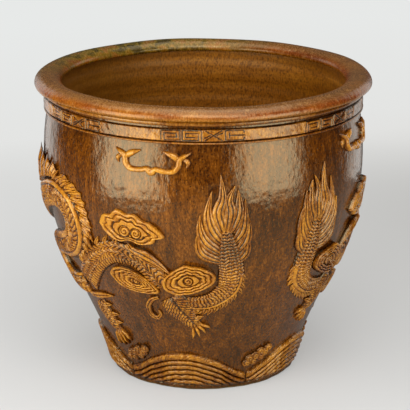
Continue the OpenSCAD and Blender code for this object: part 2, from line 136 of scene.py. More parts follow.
# Making meshes on the wall
def finish_piece(name, bm, materials, nodes, sharp=80):
    """Turn a bmesh into a piece of the jar that stands for CAD nodes."""
    mesh = bpy.data.meshes.new(name)
    bm.to_mesh(mesh)
    bm.free()
    for m in materials:
        mesh.materials.append(m)
    mesh.polygons.foreach_set("use_smooth", [True] * len(mesh.polygons))
    mesh.set_sharp_from_angle(angle=math.radians(sharp))
    piece = bpy.data.objects.new(name, mesh)
    bpy.context.scene.collection.objects.link(piece)
    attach(piece, "root")
    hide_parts(*nodes)
    return piece


def outward(bm, first):
    """Face the closed part made since a count of faces outwards."""
    bm.faces.ensure_lookup_table()
    faces = bm.faces[first:]
    bmesh.ops.recalc_face_normals(bm, faces=faces)
    bm.normal_update()
    if sum(f.calc_center_median().dot(f.normal) * f.calc_area() for f in faces) < 0:
        bmesh.ops.reverse_faces(bm, faces=faces)


def glaze_layer(bm):
    """Vertex value for the glaze: 0 pooled in a line, 1 thin over an edge."""
    return bm.verts.layers.float.get("glaze") or bm.verts.layers.float.new("glaze")


def sheet(bm, rows, cols, shape, mirror=False):
    """Closed sheet on the wall. shape(s, t) gives azimuth, height, relief and glaze tone,
    with s along the rows from 0 to 1 and t across from -1 to 1."""
    extra = cols + 3
    first = len(bm.faces)
    layer = glaze_layer(bm)
    made = bmesh.ops.create_grid(bm, x_segments=extra - 1, y_segments=rows - 1, size=1.0)
    verts = made["verts"]
    xy = np.array([v.co[:2] for v in verts])
    col = np.rint((xy[:, 0] + 1) / 2 * (extra - 1)).astype(int)
    row = np.rint((xy[:, 1] + 1) / 2 * (rows - 1)).astype(int)
    under = (col == 0) | (col >= cols + 1)
    t = np.where(col == cols + 2, -1, np.clip((col - 1) / (cols - 1) * 2 - 1, -1, 1))
    s = row / (rows - 1)
    az, z, h, tone = shape(s, t)
    h = np.where(under, -SUNK, pressed(az, z, h))
    co = on_wall(-az if mirror else az, z, h)
    tone = np.clip(np.where(under, 0, tone), 0, 1)
    for v, c, g in zip(verts, co.tolist(), tone.tolist()):
        v.co = c
        v[layer] = g
    seam = [v for v, c in zip(verts, col) if c in (0, extra - 1)]
    bmesh.ops.remove_doubles(bm, verts=seam, dist=1e-7)
    ends = [e for e in bm.edges if e.is_boundary]
    bmesh.ops.holes_fill(bm, edges=ends, sides=0)
    outward(bm, first)


def course(path, step):
    """Even stations along a path of azimuth, percent of wall height and width in mm.
    Gives the stations in azimuth, mm height and width, their unit headings, distances and the length."""
    p = smooth_path(path)
    p[:, 1] = p[:, 1] * NECK_Z / 100
    span = np.diff(p[:, 0]) * per_deg((p[1:, 1] + p[:-1, 1]) / 2)
    flat = np.cumsum(np.r_[0, np.hypot(span, np.diff(p[:, 1]))])
    total = flat[-1]
    rows = max(8, int(total / step))
    even = np.linspace(0, total, rows)
    q = np.stack([np.interp(even, flat, p[:, k]) for k in range(3)], 1)
    du = np.gradient(q[:, 0]) * per_deg(q[:, 1])
    dz = np.gradient(q[:, 1])
    n = np.hypot(du, dz)
    return q, du / n, dz / n, even, total


def ribbon(bm, path, cols, shape, mirror, step=0.8):
    """Closed strap along a path. shape(along mm, total mm, t, width) gives relief and glaze tone."""
    q, du, dz, even, total = course(path, step)
    rows = len(even)

    def place(s, t):
        i = np.rint(s * (rows - 1)).astype(int)
        across = t * q[i, 2] / 2
        az = q[i, 0] - dz[i] * across / per_deg(q[i, 1])
        z = q[i, 1] + du[i] * across
        h, tone = shape(even[i], total, t, q[i, 2])
        return az, z, h, tone

    sheet(bm, rows, cols, place, mirror)


def beside(path, f, across):
    """Base point at a share of a path's length, stepped across it in mm, with the heading there."""
    q, du, dz, even = course(path, 2.0)[:4]
    i = int(round(f * (len(even) - 1)))
    z = q[i, 1] + du[i] * across
    return np.array([q[i, 0] - dz[i] * across / float(per_deg(q[i, 1])), z]), np.array([du[i], dz[i]])


def blade(bm, base, way, long, wide, bend, height, mirror):
    """Pointed lock of hair from a base point of azimuth and mm, along a way, bent to its left."""
    way = way / np.hypot(*way)
    left = np.array([-way[1], way[0]])
    pts = []
    for k, w in ((0.0, 0.8), (0.33, 1.0), (0.68, 0.62), (1.0, 0.1)):
        x, y = way * long * k + left * bend * k * k
        pts.append((base[0] + x / float(per_deg(base[1])), (base[1] + y) * 100 / NECK_Z, wide * w))
    ribbon(bm, pts, 13, lock(height, 2), mirror, 0.9)


def spikes(bm, path, span, count, edge, long, wide, lean, height, mirror, seed):
    """Row of swept fins along a path. edge is how far across it they stand, in mm."""
    rng = np.random.default_rng(seed)
    out = 1 if edge > 0 else -1
    for f in np.linspace(span[0], span[1], count):
        base, head = beside(path, f, edge)
        side = np.array([-head[1], head[0]]) * out
        a = math.radians(lean + rng.uniform(-7, 7))
        way = side * math.cos(a) + head * math.sin(a)
        blade(bm, base, way, long * rng.uniform(0.8, 1.1), wide, -out * long * 0.18, height, mirror)


def lock(height, strands):
    """Relief of a lock of hair or flame: rounded, grooved along and thinning to its tip."""
    def shape(d, total, t, w):
        f = d / total
        dome = np.sqrt(np.clip(1 - np.abs(t) ** 2.2, 0, 1))
        part = (t + 1) / 2 * strands
        cut = (1 - ease(tri(part), 0.0, 0.62)) * (np.abs(t) < 1 - 0.6 / strands) * (1 - ease(f, 0.78, 1))
        taper = 1 - 0.5 * ease(f, 0.35, 1)
        h = height * taper * (0.25 + 0.75 * dome) * (0.6 + 0.4 * ease(f, 0, 0.15)) - 1.5 * cut
        tone = 0.06 + 0.82 * dome - 0.7 * cut + 0 * d
        return np.maximum(h, 0.25), tone
    return shape


def roll(part, power=0.6):
    """Rounded ridge over each whole step."""
    k = 2 * (part - np.floor(part)) - 1
    return np.clip(1 - k * k, 0, 1) ** power


def pad(bm, centre, outline, n, shape, mirror):
    """Closed pad inside an outline of azimuth and percent of wall height.
    shape(rho, turn, x mm, y mm) gives relief and glaze tone."""
    c = np.array([centre[0], centre[1] * NECK_Z / 100])
    line = smooth_path(list(outline) + [outline[0]], 16)[:-1]
    line[:, 1] *= NECK_Z / 100
    first = len(bm.faces)
    layer = glaze_layer(bm)
    made = bmesh.ops.create_grid(bm, x_segments=n, y_segments=n, size=1.0)
    verts = made["verts"]
    xy = np.array([v.co[:2] for v in verts])
    rho = np.abs(xy).max(1)
    # The square's sides are spread evenly round the disc
    x, y = xy.T
    r = np.where(rho > 0, rho, 1)
    side = np.where(np.abs(x) >= np.abs(y), np.where(x > 0, 0, 2), np.where(y > 0, 1, 3))
    part = np.choose(side, [y / r, -x / r, -y / r, x / r])
    turn = ((side + part / 2) / 4) % 1.0
    k = turn * len(line)
    i0 = np.floor(k).astype(int) % len(line)
    f = (k - np.floor(k))[:, None]
    rim = line[i0] * (1 - f) + line[(i0 + 1) % len(line)] * f
    pos = c + (rim - c) * rho[:, None]
    dx = (pos[:, 0] - c[0]) * per_deg(c[1])
    dy = pos[:, 1] - c[1]
    h, tone = shape(rho, turn, dx, dy)
    h = pressed(pos[:, 0], pos[:, 1], h)
    co = on_wall(-pos[:, 0] if mirror else pos[:, 0], pos[:, 1], h)
    for v, p, g in zip(verts, co.tolist(), np.clip(tone, 0, 1).tolist()):
        v.co = p
        v[layer] = g
    rimmed = [e for e in bm.edges if e.is_boundary]
    skirt = bmesh.ops.extrude_edge_only(bm, edges=rimmed)["geom"]
    low = [g for g in skirt if isinstance(g, bmesh.types.BMVert)]
    for v in low:
        r0 = math.hypot(v.co.x, v.co.y)
        r1 = float(wall_r(v.co.z * 1000)) * 0.001 - SUNK * 0.001
        v.co.x *= r1 / r0
        v.co.y *= r1 / r0
        v[layer] = 0
    bmesh.ops.holes_fill(bm, edges=[e for e in bm.edges if e.is_boundary], sides=0)
    outward(bm, first)


def revolve(bm, profile, steps, lump):
    """Spin a closed profile of radius and height in mm round the jar's axis. lump(angle, radius,
    height) in metres gives the potter's unevenness as a step out and a step up."""
    verts = [bm.verts.new((r * 0.001, 0, z * 0.001)) for r, z in profile]
    edges = [bm.edges.new((verts[i], verts[(i + 1) % len(verts)])) for i in range(len(verts))]
    bmesh.ops.spin(
        bm, geom=verts + edges, cent=(0, 0, 0), axis=(0, 0, 1), angle=2 * math.pi, steps=steps, use_merge=True
    )
    bmesh.ops.remove_doubles(bm, verts=bm.verts, dist=1e-7)
    for v in bm.verts:
        a = math.atan2(v.co.x, -v.co.y)
        r = math.hypot(v.co.x, v.co.y)
        if r > 1e-6:
            dr, dz = lump(a, r, v.co.z)
            v.co.x *= (r + dr) / r
            v.co.y *= (r + dr) / r
            v.co.z += dz
    bmesh.ops.delete(bm, geom=[e for e in bm.edges if not e.link_faces], context="EDGES")
    outward(bm, 0)


# Glazes
def srgb(*c):
    """Linear colour for an 8-bit screen colour."""
    lin = [(x / 255 / 12.92) if x / 255 <= 0.04045 else ((x / 255 + 0.055) / 1.055) ** 2.4 for x in c]
    return (*lin, 1.0)


def node(tree, kind, inputs=None, **props):
    """New shader node with its inputs linked or set."""
    n = tree.nodes.new(kind)
    for k, v in props.items():
        setattr(n, k, v)
    for k, v in (inputs or {}).items():
        if isinstance(v, bpy.types.NodeSocket):
            tree.links.new(v, n.inputs[k])
        else:
            n.inputs[k].default_value = v
    return n


def ramp(tree, fac, stops):
    """Colours along a value."""
    n = node(tree, "ShaderNodeValToRGB", {0: fac})
    while len(n.color_ramp.elements) < len(stops):
        n.color_ramp.elements.new(0.5)
    for e, (pos, colour) in zip(n.color_ramp.elements, stops):
        e.position = pos
        e.color = srgb(*colour)
    return n.outputs[0]


def mix(tree, fac, a, b, blend="MIX"):
    """Blend of two colours."""
    return node(tree, "ShaderNodeMix", {0: fac, 6: a, 7: b}, data_type="RGBA", blend_type=blend).outputs[2]


def maths(tree, op, a, b, clamp=False):
    return node(tree, "ShaderNodeMath", {0: a, 1: b}, operation=op, use_clamp=clamp).outputs[0]


def times(tree, a, b):
    return maths(tree, "MULTIPLY", a, b)


def plus(tree, a, b, clamp=False):
    return maths(tree, "ADD", a, b, clamp)


def ranged(tree, value, lo, hi, a=0.0, b=1.0):
    """Value from lo to hi brought to a to b, and held there."""
    ends = {"Value": value, "From Min": lo, "From Max": hi, "To Min": a, "To Max": b}
    return node(tree, "ShaderNodeMapRange", ends).outputs[0]


def noise(tree, at, scale, detail, rough, twist=0.0):
    grain = {"Vector": at, "Scale": scale, "Detail": detail, "Roughness": rough, "Distortion": twist}
    return node(tree, "ShaderNodeTexNoise", grain).outputs[0]


def object_place(tree):
    return node(tree, "ShaderNodeTexCoord").outputs["Object"]


def squeezed(tree, at, scale):
    """Coordinates squeezed by a scale a side, so that a pattern on them runs longer or shorter."""
    return node(tree, "ShaderNodeMapping", {"Vector": at, "Scale": scale}).outputs[0]


def glaze_flow_group():
    """Run glaze: upright streaks, fine mottling, iron specks and pinholes."""
    g = bpy.data.node_groups.new("Glaze flow", "ShaderNodeTree")
    face = g.interface
    for name, start in (("Streak width", 70), ("Speck size", 260)):
        face.new_socket(name, in_out="INPUT", socket_type="NodeSocketFloat").default_value = start
    for name in ("Streaks", "Mottle", "Specks", "Clouds", "Surface"):
        face.new_socket(name, in_out="OUTPUT", socket_type="NodeSocketFloat")
    gin = g.nodes.new("NodeGroupInput")
    gout = g.nodes.new("NodeGroupOutput")
    at = object_place(g)
    short = squeezed(g, at, (1, 1, 0.5))
    streaks = noise(g, squeezed(g, at, (1, 1, 0.13)), gin.outputs[0], 6, 0.68, 0.5)
    mottle = noise(g, short, 420.0, 4, 0.65)
    clouds = noise(g, at, 9.0, 3, 0.55)
    cells = node(g, "ShaderNodeTexVoronoi", {"Vector": at, "Scale": gin.outputs[1], "Randomness": 1.0})
    near = maths(g, "LESS_THAN", cells.outputs["Distance"], 0.2)
    draw = node(g, "ShaderNodeSeparateColor", {"Color": cells.outputs["Color"]}).outputs[0]
    specks = times(g, near, maths(g, "GREATER_THAN", draw, 0.72))
    dents = noise(g, short, 150.0, 3, 0.6)
    fine = plus(g, times(g, mottle, 0.16), times(g, dents, 0.6))
    surface = plus(g, noise(g, at, 55.0, 2, 0.5), fine)
    surface = maths(g, "SUBTRACT", surface, times(g, specks, 0.7))
    made = {"Streaks": streaks, "Mottle": mottle, "Specks": specks, "Clouds": clouds, "Surface": surface}
    for name, s in made.items():
        g.links.new(s, gout.inputs[name])
    return g


FLOW = glaze_flow_group()


def flow(tree, width, speck):
    """The run glaze's masks in a material, with its own streak width and speck size."""
    n = tree.nodes.new("ShaderNodeGroup")
    n.node_tree = FLOW
    n.inputs[0].default_value = width
    n.inputs[1].default_value = speck
    return [n.outputs[name] for name in ("Streaks", "Mottle", "Specks", "Clouds", "Surface")]


def new_material(name, roughness=0.2):
    """Glossy coat over a colour that is still to be linked."""
    mat = bpy.data.materials.new(name)
    mat.use_nodes = True
    tree = mat.node_tree
    tree.nodes.clear()
    out = tree.nodes.new("ShaderNodeOutputMaterial")
    bsdf = tree.nodes.new("ShaderNodeBsdfPrincipled")
    tree.links.new(bsdf.outputs[0], out.inputs[0])
    bsdf.inputs["Roughness"].default_value = roughness
    bsdf.inputs["IOR"].default_value = 1.5
    bsdf.inputs["Specular IOR Level"].default_value = 0.95
    bsdf.inputs["Specular Tint"].default_value = (1.0, 0.81, 0.46, 1)
    return mat, tree, bsdf


def finish_glaze(tree, bsdf, colour, height, strength, distance, mottle=None, gloss=(0, 0)):
    """Link a glaze's colour, its bumps and, where the mottling changes it, its gloss."""
    tree.links.new(colour, bsdf.inputs["Base Color"])
    if mottle:
        tree.links.new(ranged(tree, mottle, 0.35, 0.7, *gloss), bsdf.inputs["Roughness"])
    bump = node(tree, "ShaderNodeBump", {"Height": height, "Strength": strength, "Distance": distance})
    tree.links.new(bump.outputs[0], bsdf.inputs["Normal"])


def brown_glaze():
    """Iron-brown glaze of the wall: dark runs over amber, mottled and pinholed."""
    mat, tree, bsdf = new_material("brown_glaze")
    streaks, mottle, specks, clouds, surface = flow(tree, 95.0, 265.0)
    base = ramp(tree, streaks, [
        (0.32, (72, 35, 3)), (0.45, (99, 53, 5)), (0.56, (120, 68, 11)), (0.7, (150, 90, 20))])
    cloudy = ramp(tree, clouds, [(0.36, (186, 166, 140)), (0.5, (232, 226, 214)), (0.66, (255, 246, 226))])
    base = mix(tree, 0.8, base, cloudy, "MULTIPLY")
    grain = ramp(tree, mottle, [
        (0.36, (112, 88, 62)), (0.48, (222, 210, 192)), (0.6, (255, 250, 235)), (0.72, (255, 255, 255))])
    base = mix(tree, 0.8, base, grain, "MULTIPLY")
    base = mix(tree, ranged(tree, mottle, 0.58, 0.76, 0.0, 0.42), base, srgb(186, 118, 34))
    base = mix(tree, times(tree, specks, 0.75), base, srgb(28, 14, 3))
    finish_glaze(tree, bsdf, base, surface, 0.6, 0.0016, mottle, (0.08, 0.17))
    return mat


def relief_glaze(name, groove, mid, crest):
    """Glaze over the applied clay: pooled dark in the lines and thin and pale on the edges."""
    mat, tree, bsdf = new_material(name)
    streaks, mottle, specks, clouds, surface = flow(tree, 130.0, 340.0)
    tone = node(tree, "ShaderNodeAttribute", attribute_name="glaze").outputs["Fac"]
    shift = times(tree, maths(tree, "SUBTRACT", mottle, 0.5), 1.3)
    drift = times(tree, maths(tree, "SUBTRACT", clouds, 0.5), 1.3)
    value = plus(tree, plus(tree, tone, shift), drift, True)
    base = ramp(tree, value, [(0.12, groove), (0.5, mid), (0.95, crest)])
    runs = ramp(tree, streaks, [(0.36, (186, 146, 96)), (0.58, (255, 255, 255))])
    base = mix(tree, 0.75, base, runs, "MULTIPLY")
    base = mix(tree, times(tree, specks, 0.6), base, srgb(44, 24, 4))
    finish_glaze(tree, bsdf, base, surface, 0.6, 0.0013, mottle, (0.12, 0.26))
    return mat


def rim_glaze():
    """Thin reddish glaze of the rim, satin, worn pale in flecks, with a painted sheen that greys its top and
    mossy stains at one side of the back.
    """
    mat, tree, bsdf = new_material("rim_glaze", 0.3)
    mottle, specks, clouds, surface = flow(tree, 40.0, 420.0)[1:]
    at = object_place(tree)
    x, y, z = node(tree, "ShaderNodeSeparateXYZ", {"Vector": at}).outputs
    base = ramp(tree, clouds, [(0.36, (108, 46, 6)), (0.5, (138, 66, 10)), (0.64, (164, 94, 20))])
    # The top is greyer, a painted sheen of the light from above; the outer face is redder, and the glaze
    # pools yellow at its foot
    low = RIM_Z * 0.001
    top = ranged(tree, z, low + 0.009, JAR_H * 0.001 - 0.002)
    # Painted sheen: the top of the rim is mixed towards grey-brown
    base = mix(tree, times(tree, top, 0.62), base, srgb(134, 98, 52))
    foot = ranged(tree, z, low + 0.006, low)
    base = mix(tree, times(tree, foot, 0.8), base, srgb(168, 112, 24))
    grain = ramp(tree, mottle, [(0.36, (150, 126, 98)), (0.54, (255, 255, 255))])
    base = mix(tree, 0.55, base, grain, "MULTIPLY")
    worn = noise(tree, at, 130.0, 5, 0.7)
    base = mix(tree, ranged(tree, worn, 0.57, 0.66, 0.0, 0.3), base, srgb(216, 164, 96))
    # The stains lie on the back of the rim, left of the middle as the jar is seen
    side = plus(tree, times(tree, x, -0.12), times(tree, y, 0.99))
    reach = ranged(tree, side, 0.09, 0.21)
    patch = noise(tree, at, 42.0, 6, 0.7)
    moss = times(tree, reach, ranged(tree, patch, 0.38, 0.5))
    black = times(tree, reach, ranged(tree, patch, 0.49, 0.56))
    base = mix(tree, times(tree, moss, 0.8), base, srgb(120, 104, 26))
    base = mix(tree, times(tree, black, 0.85), base, srgb(42, 30, 7))
    base = mix(tree, times(tree, specks, 0.65), base, srgb(48, 26, 8))
    finish_glaze(tree, bsdf, base, surface, 0.6, 0.0014, mottle, (0.17, 0.36))
    return mat


def inside_glaze():
    """Thin amber-brown glaze inside, with the potter's level throwing lines."""
    mat, tree, bsdf = new_material("inside_glaze", 0.42)
    mottle, specks, clouds = flow(tree, 30.0, 300.0)[1:4]
    at = object_place(tree)
    lines = noise(tree, squeezed(tree, at, (3.0, 3.0, 60)), 2.4, 6, 0.7)
    base = ramp(tree, lines, [(0.3, (150, 92, 14)), (0.5, (178, 112, 22)), (0.7, (204, 138, 36))])
    cloudy = ramp(tree, clouds, [(0.36, (206, 190, 160)), (0.62, (255, 250, 240))])
    base = mix(tree, 0.8, base, cloudy, "MULTIPLY")
    grain = ramp(tree, mottle, [(0.38, (140, 118, 84)), (0.56, (255, 255, 255))])
    base = mix(tree, 0.85, base, grain, "MULTIPLY")
    base = mix(tree, times(tree, specks, 0.5), base, srgb(58, 34, 6))
    # Painted shade: the inside is darker down the left side as the jar is seen, where the window light falls
    # less
    x, y = node(tree, "ShaderNodeSeparateXYZ", {"Vector": at}).outputs[:2]
    shaded_side = plus(tree, times(tree, x, -0.9), times(tree, y, 0.43))
    shaded_side = plus(tree, shaded_side, times(tree, clouds, 0.06))
    base = mix(tree, ranged(tree, shaded_side, 0.04, 0.19, 0.0, 0.7), base, srgb(92, 56, 6))
    height = plus(tree, times(tree, lines, 0.5), times(tree, mottle, 0.35))
    finish_glaze(tree, bsdf, base, height, 0.5, 0.002)
    return mat


def bare_foot():
    """Unglazed gritty stoneware of the foot, stained by drips of glaze."""
    mat, tree, bsdf = new_material("bare_foot", 0.8)
    masks = flow(tree, 30.0, 500.0)
    mottle, clouds = masks[1], masks[3]
    base = ramp(tree, mottle, [(0.35, (70, 50, 20)), (0.5, (108, 84, 40)), (0.68, (146, 122, 72))])
    base = mix(tree, ranged(tree, clouds, 0.45, 0.62, 0.0, 0.8), base, srgb(64, 42, 14))
    finish_glaze(tree, bsdf, base, mottle, 0.8, 0.002)
    return mat


BROWN = brown_glaze()
OCHRE = relief_glaze("relief_glaze", (50, 23, 2), (136, 76, 9), (208, 141, 38))
AMBER = relief_glaze("wave_glaze", (52, 24, 2), (124, 69, 8), (194, 128, 32))
RIM = rim_glaze()
INSIDE = inside_glaze()
FOOT = bare_foot()

# Thrown vessel
WALL_ROW = 2.5
WALL_STEPS = 256
RIM_STEPS = 300
# Height below which the foot's edge is uneven, and radius outside which it is
ROUGH_H = 14
ROUGH_R = 0.122


def build_wall():
    zs = np.unique(np.r_[np.arange(FLOOR_T, RIM_Z + 0.01, WALL_ROW), RIM_Z])
    out = [(float(wall_r(z)), float(z)) for z in zs]
    inner = [(float(wall_r(z)) - WALL_T, float(z)) for z in zs[::-1]]

    def lump(a, r, z):
        mm = z * 1000
        if r * 1000 > float(wall_r(mm)) - 3:
            return 0.00035 * math.sin(2 * a + 1 + mm * 0.008) + 0.00004 * math.sin(mm * 0.42 + math.sin(a)), 0
        return 0.0003 * math.sin(mm * 0.33 + 0.6 * math.sin(a)) + 0.0004 * math.sin(mm * 0.12 + a), 0

    bm = bmesh.new()
    revolve(bm, out + inner, WALL_STEPS, lump)
    for f in bm.faces:
        c = f.calc_center_median()
        if math.hypot(c.x, c.y) * 1000 < float(wall_r(c.z * 1000)) - WALL_T * 0.5:
            f.material_index = 1
    walls = ["foot_wall", "lower_wall", "belly_wall", "shoulder_wall"]
    finish_piece("thrown_wall", bm, [BROWN, INSIDE], walls, 50)


def build_base():
    side = [(FOOT_R - 2, 0), (FOOT_R - 0.6, 0.6), (FOOT_R, 2.2)]
    side += [(float(wall_r(z)), float(z)) for z in np.arange(4, FLOOR_T + 0.1, 2)]
    lip = float(wall_r(FLOOR_T)) - WALL_T - 1
    inner = [(lip, FLOOR_T)] + [(r, FLOOR_T + FLOOR_RISE) for r in (lip - FLOOR_RISE, 80, 40, 0)]
    under = [(0, 0), (40, 0), (80, 0), (110, 0)]

    def lump(a, r, z):
        mm = z * 1000
        if r > ROUGH_R and mm < ROUGH_H:
            wob = math.sin(9 * a) + math.sin(23 * a + 2) * 0.6 + math.sin(41 * a + 1) * 0.4
            return 0.0006 * wob * (1 - mm / ROUGH_H), 0
        return 0, 0

    bm = bmesh.new()
    revolve(bm, under + side + inner, WALL_STEPS, lump)
    for f in bm.faces:
        c = f.calc_center_median()
        if c.z > FLOOR_T * 0.00099:
            f.material_index = 1
        elif c.z > 0.0028:
            f.material_index = 2
    finish_piece("base_slab_fired", bm, [FOOT, INSIDE, BROWN], ["base_slab"], 50)


def build_rim():
    rise = RIM_H * 0.72
    prof = []
    for k in range(72):
        a = math.radians(k * 5)
        s = math.sin(a)
        z = RIM_Z + RIM_H - rise + (rise * s if s > 0 else (RIM_H - rise) * max(s * 1.6, -1))
        prof.append((RIM_R - RIM_W / 2 + (RIM_W / 2) * math.cos(a), max(z, RIM_Z)))

    def lump(a, r, z):
        out = -0.0007 - 0.0006 * math.sin(3 * a + 0.7) * math.sin(5 * a)
        up = 0.0006 * math.sin(2 * a + 2) * math.sin(7 * a) - 0.0006
        return out, up if z * 1000 > RIM_Z + 2 else 0

    bm = bmesh.new()
    revolve(bm, prof, RIM_STEPS, lump)
    finish_piece("rolled_rim_fired", bm, [RIM], ["rolled_rim"])


def build_bead(name, glaze, z0, height, out, phase):
    """Half-round roll of clay round the neck, squeezed unevenly."""
    prof = [(NECK_R - 1, z0)]
    for k in range(13):
        a = -math.pi / 2 + math.pi * k / 12
        stand = 0.3 if k in (0, 12) else 0.35 + 0.65 * math.cos(a)
        prof.append((NECK_R + SLIP + out * stand, z0 + height / 2 + height / 2 * math.sin(a)))
    prof.append((NECK_R - 1, z0 + height))

    def lump(a, r, z):
        return 0.0003 * math.sin(11 * a + phase) * math.sin(4 * a) - 0.0003, 0

    bm = bmesh.new()
    revolve(bm, prof, RIM_STEPS, lump)
    layer = glaze_layer(bm)
    for v in bm.verts:
        r = math.hypot(v.co.x, v.co.y) * 1000
        v[layer] = min(1, max(0, (r - NECK_R - 1) / out)) * 0.7
    finish_piece(name + "_fired", bm, [glaze], [name])


# Fret band
STRIPS = 7
STRIP_PITCH = 360 / STRIPS
# Width of one key as it is drawn, and as it is pressed
KEY_W = 33.5
KEY_PRESSED = 28


def line_distance(x, y, lines):
    """Distance in mm to the nearest of a list of straight lines."""
    best = np.full(np.shape(x), 99.0)
    for x0, y0, x1, y1 in lines:
        dx, dy = x1 - x0, y1 - y0
        k = np.clip(((x - x0) * dx + (y - y0) * dy) / (dx * dx + dy * dy + 1e-9), 0, 1)
        best = np.minimum(best, np.hypot(x - x0 - k * dx, y - y0 - k * dy))
    return best


def key_lines(c, f):
    """Square spiral with a hooked heart, 30 mm wide. f is 1, or -1 for its mirror."""
    low, high, top, turn = 2.2, 11.5, 15.5, 6.2
    pts = [
        (-15, 2), (-15, top), (15, top), (15, low), (-10, low), (-10, high), (9.5, high), (9.5, turn),
        (-4.5, turn)]
    return [(c + f * a[0], a[1], c + f * b[0], b[1]) for a, b in zip(pts, pts[1:])]


def fret_lines():
    """Two keys, a cross and an open key, side by side."""
    low, high = 2.2, 15.3
    lines = key_lines(-1.5 * KEY_W, 1) + key_lines(-0.5 * KEY_W, -1)
    c = 0.5 * KEY_W
    lines += [(c - 13, low, c + 13, high), (c - 13, high, c + 13, low)]
    lines += [(c - 14, 5.4, c - 5, 8.7), (c + 5, 8.7, c + 14, 12)]
    c = 1.5 * KEY_W
    lines += [(c - 15, low, c - 15, high), (c - 15, high, c + 14, high), (c - 15, low, c + 14, low)]
    lines += [(c - 9, 8.8, c + 14, 8.8), (c - 9, 5.4, c - 9, 12)]
    lines += [(c + 14, low, c + 14, 5.6), (c + 14, high, c + 14, 12)]
    narrow = KEY_PRESSED / KEY_W
    return [(x0 * narrow, y0, x1 * narrow, y1) for x0, y0, x1, y1 in lines]


def build_fret(k):
    """One strip of the band, worn smooth towards its ends."""
    centre = STRIP_PITCH * (k - 3) + STRIP_PITCH / 2
    mm = per_deg(NECK_Z)
    half = STRIP_PITCH / 2 * mm
    lines = fret_lines()

    def shape(s, t):
        x = (2 * s - 1) * half
        y = (t + 1) / 2 * FRET_H
        yy = y + 0.35 * waver(x * 0.06, y * 0.1, 40 + k)
        xx = x + 0.6 * waver(x * 0.05, y * 0.2, 60 + k)
        d = line_distance(xx, yy, lines)
        cut = 1 - ease(d, 0.3, 1.35)
        worn = ease(np.abs(x), 54, 74)
        smear = 0.75 + 0.25 * waver(x * 0.11, y * 0.3, 80 + k)
        cut = cut * (1 - worn) * smear
        ends = 0.9 + 0.1 * ease(half - np.abs(x), 0, 2)
        edge = ease(1 - np.abs(t), 0, 0.2)
        h = (FRET_T + SLIP) * (0.35 + 0.65 * edge) * (0.4 + 0.6 * ends) - 1.5 * cut - 0.25
        h = h + 0.25 * waver(x * 0.12, y * 0.3, k) * edge
        tone = (0.6 + 0.25 * waver(x * 0.04, y * 0.1, 90 + k)) * (0.2 + 0.8 * edge) * ends - 0.75 * cut
        tone = tone - 0.25 * worn * (0.5 + 0.5 * waver(x * 0.2, y * 0.3, 17 + k))
        return centre + x / mm, FRET_Z + y, h, tone

    bm = bmesh.new()
    sheet(bm, 420, 38, shape)
    finish_piece(f"fret_band_{k + 1}", bm, [OCHRE], [f"fret_strip_{k + 1}"])


# Bail motifs
BAIL_W = 8.4


def rod(height, tip=10.0):
    """Rounded rod that thins towards its ends."""
    def shape(d, total, t, w):
        near = np.minimum(d, total - d)
        rise = 0.45 + 0.55 * ease(near, 0, tip)
        dome = np.sqrt(np.clip(1 - np.abs(t) ** 2.4, 0, 1))
        h = height * rise * dome + 0.1
        return h, 0.25 + 0.7 * dome * rise + 0 * d
    return shape


def build_bail(name, at):
    """Drooping handle of branches, with a leaf and a curl at each end."""
    w = BAIL_W
    half = [
        (9.9, 95.4, w), (9.2, 92.8, w), (7.6, 91.0, w * 0.95), (4.2, 90.8, w * 0.9), (1.6, 91.3, w * 0.95)]
    line = [(at - 13.4, 97.5, 2)] + [(at - u, v, k) for u, v, k in half] + [(at, 90.3, w * 1.35)]
    line += [(at + u, v, k) for u, v, k in half[::-1]] + [(at + 13.4, 97.5, 2)]
    bm = bmesh.new()
    ribbon(bm, line, 17, rod(6.0), False, 0.9)
    leaf = [(10, 94.2, w * 0.75), (7.8, 96.1, w * 1.15), (4, 97.6, 2.4)]
    curl = [(10.6, 95.6, w * 0.7), (12.4, 94.2, w * 0.85), (12, 92.4, 2.6)]
    for s in (-1, 1):
        for path, cols, height in ((leaf, 15, 5.6), (curl, 13, 4.6)):
            ribbon(bm, [(at + s * u, v, k) for u, v, k in path], cols, rod(height), False, 0.9)
    finish_piece(name + "_motif", bm, [OCHRE], [name])


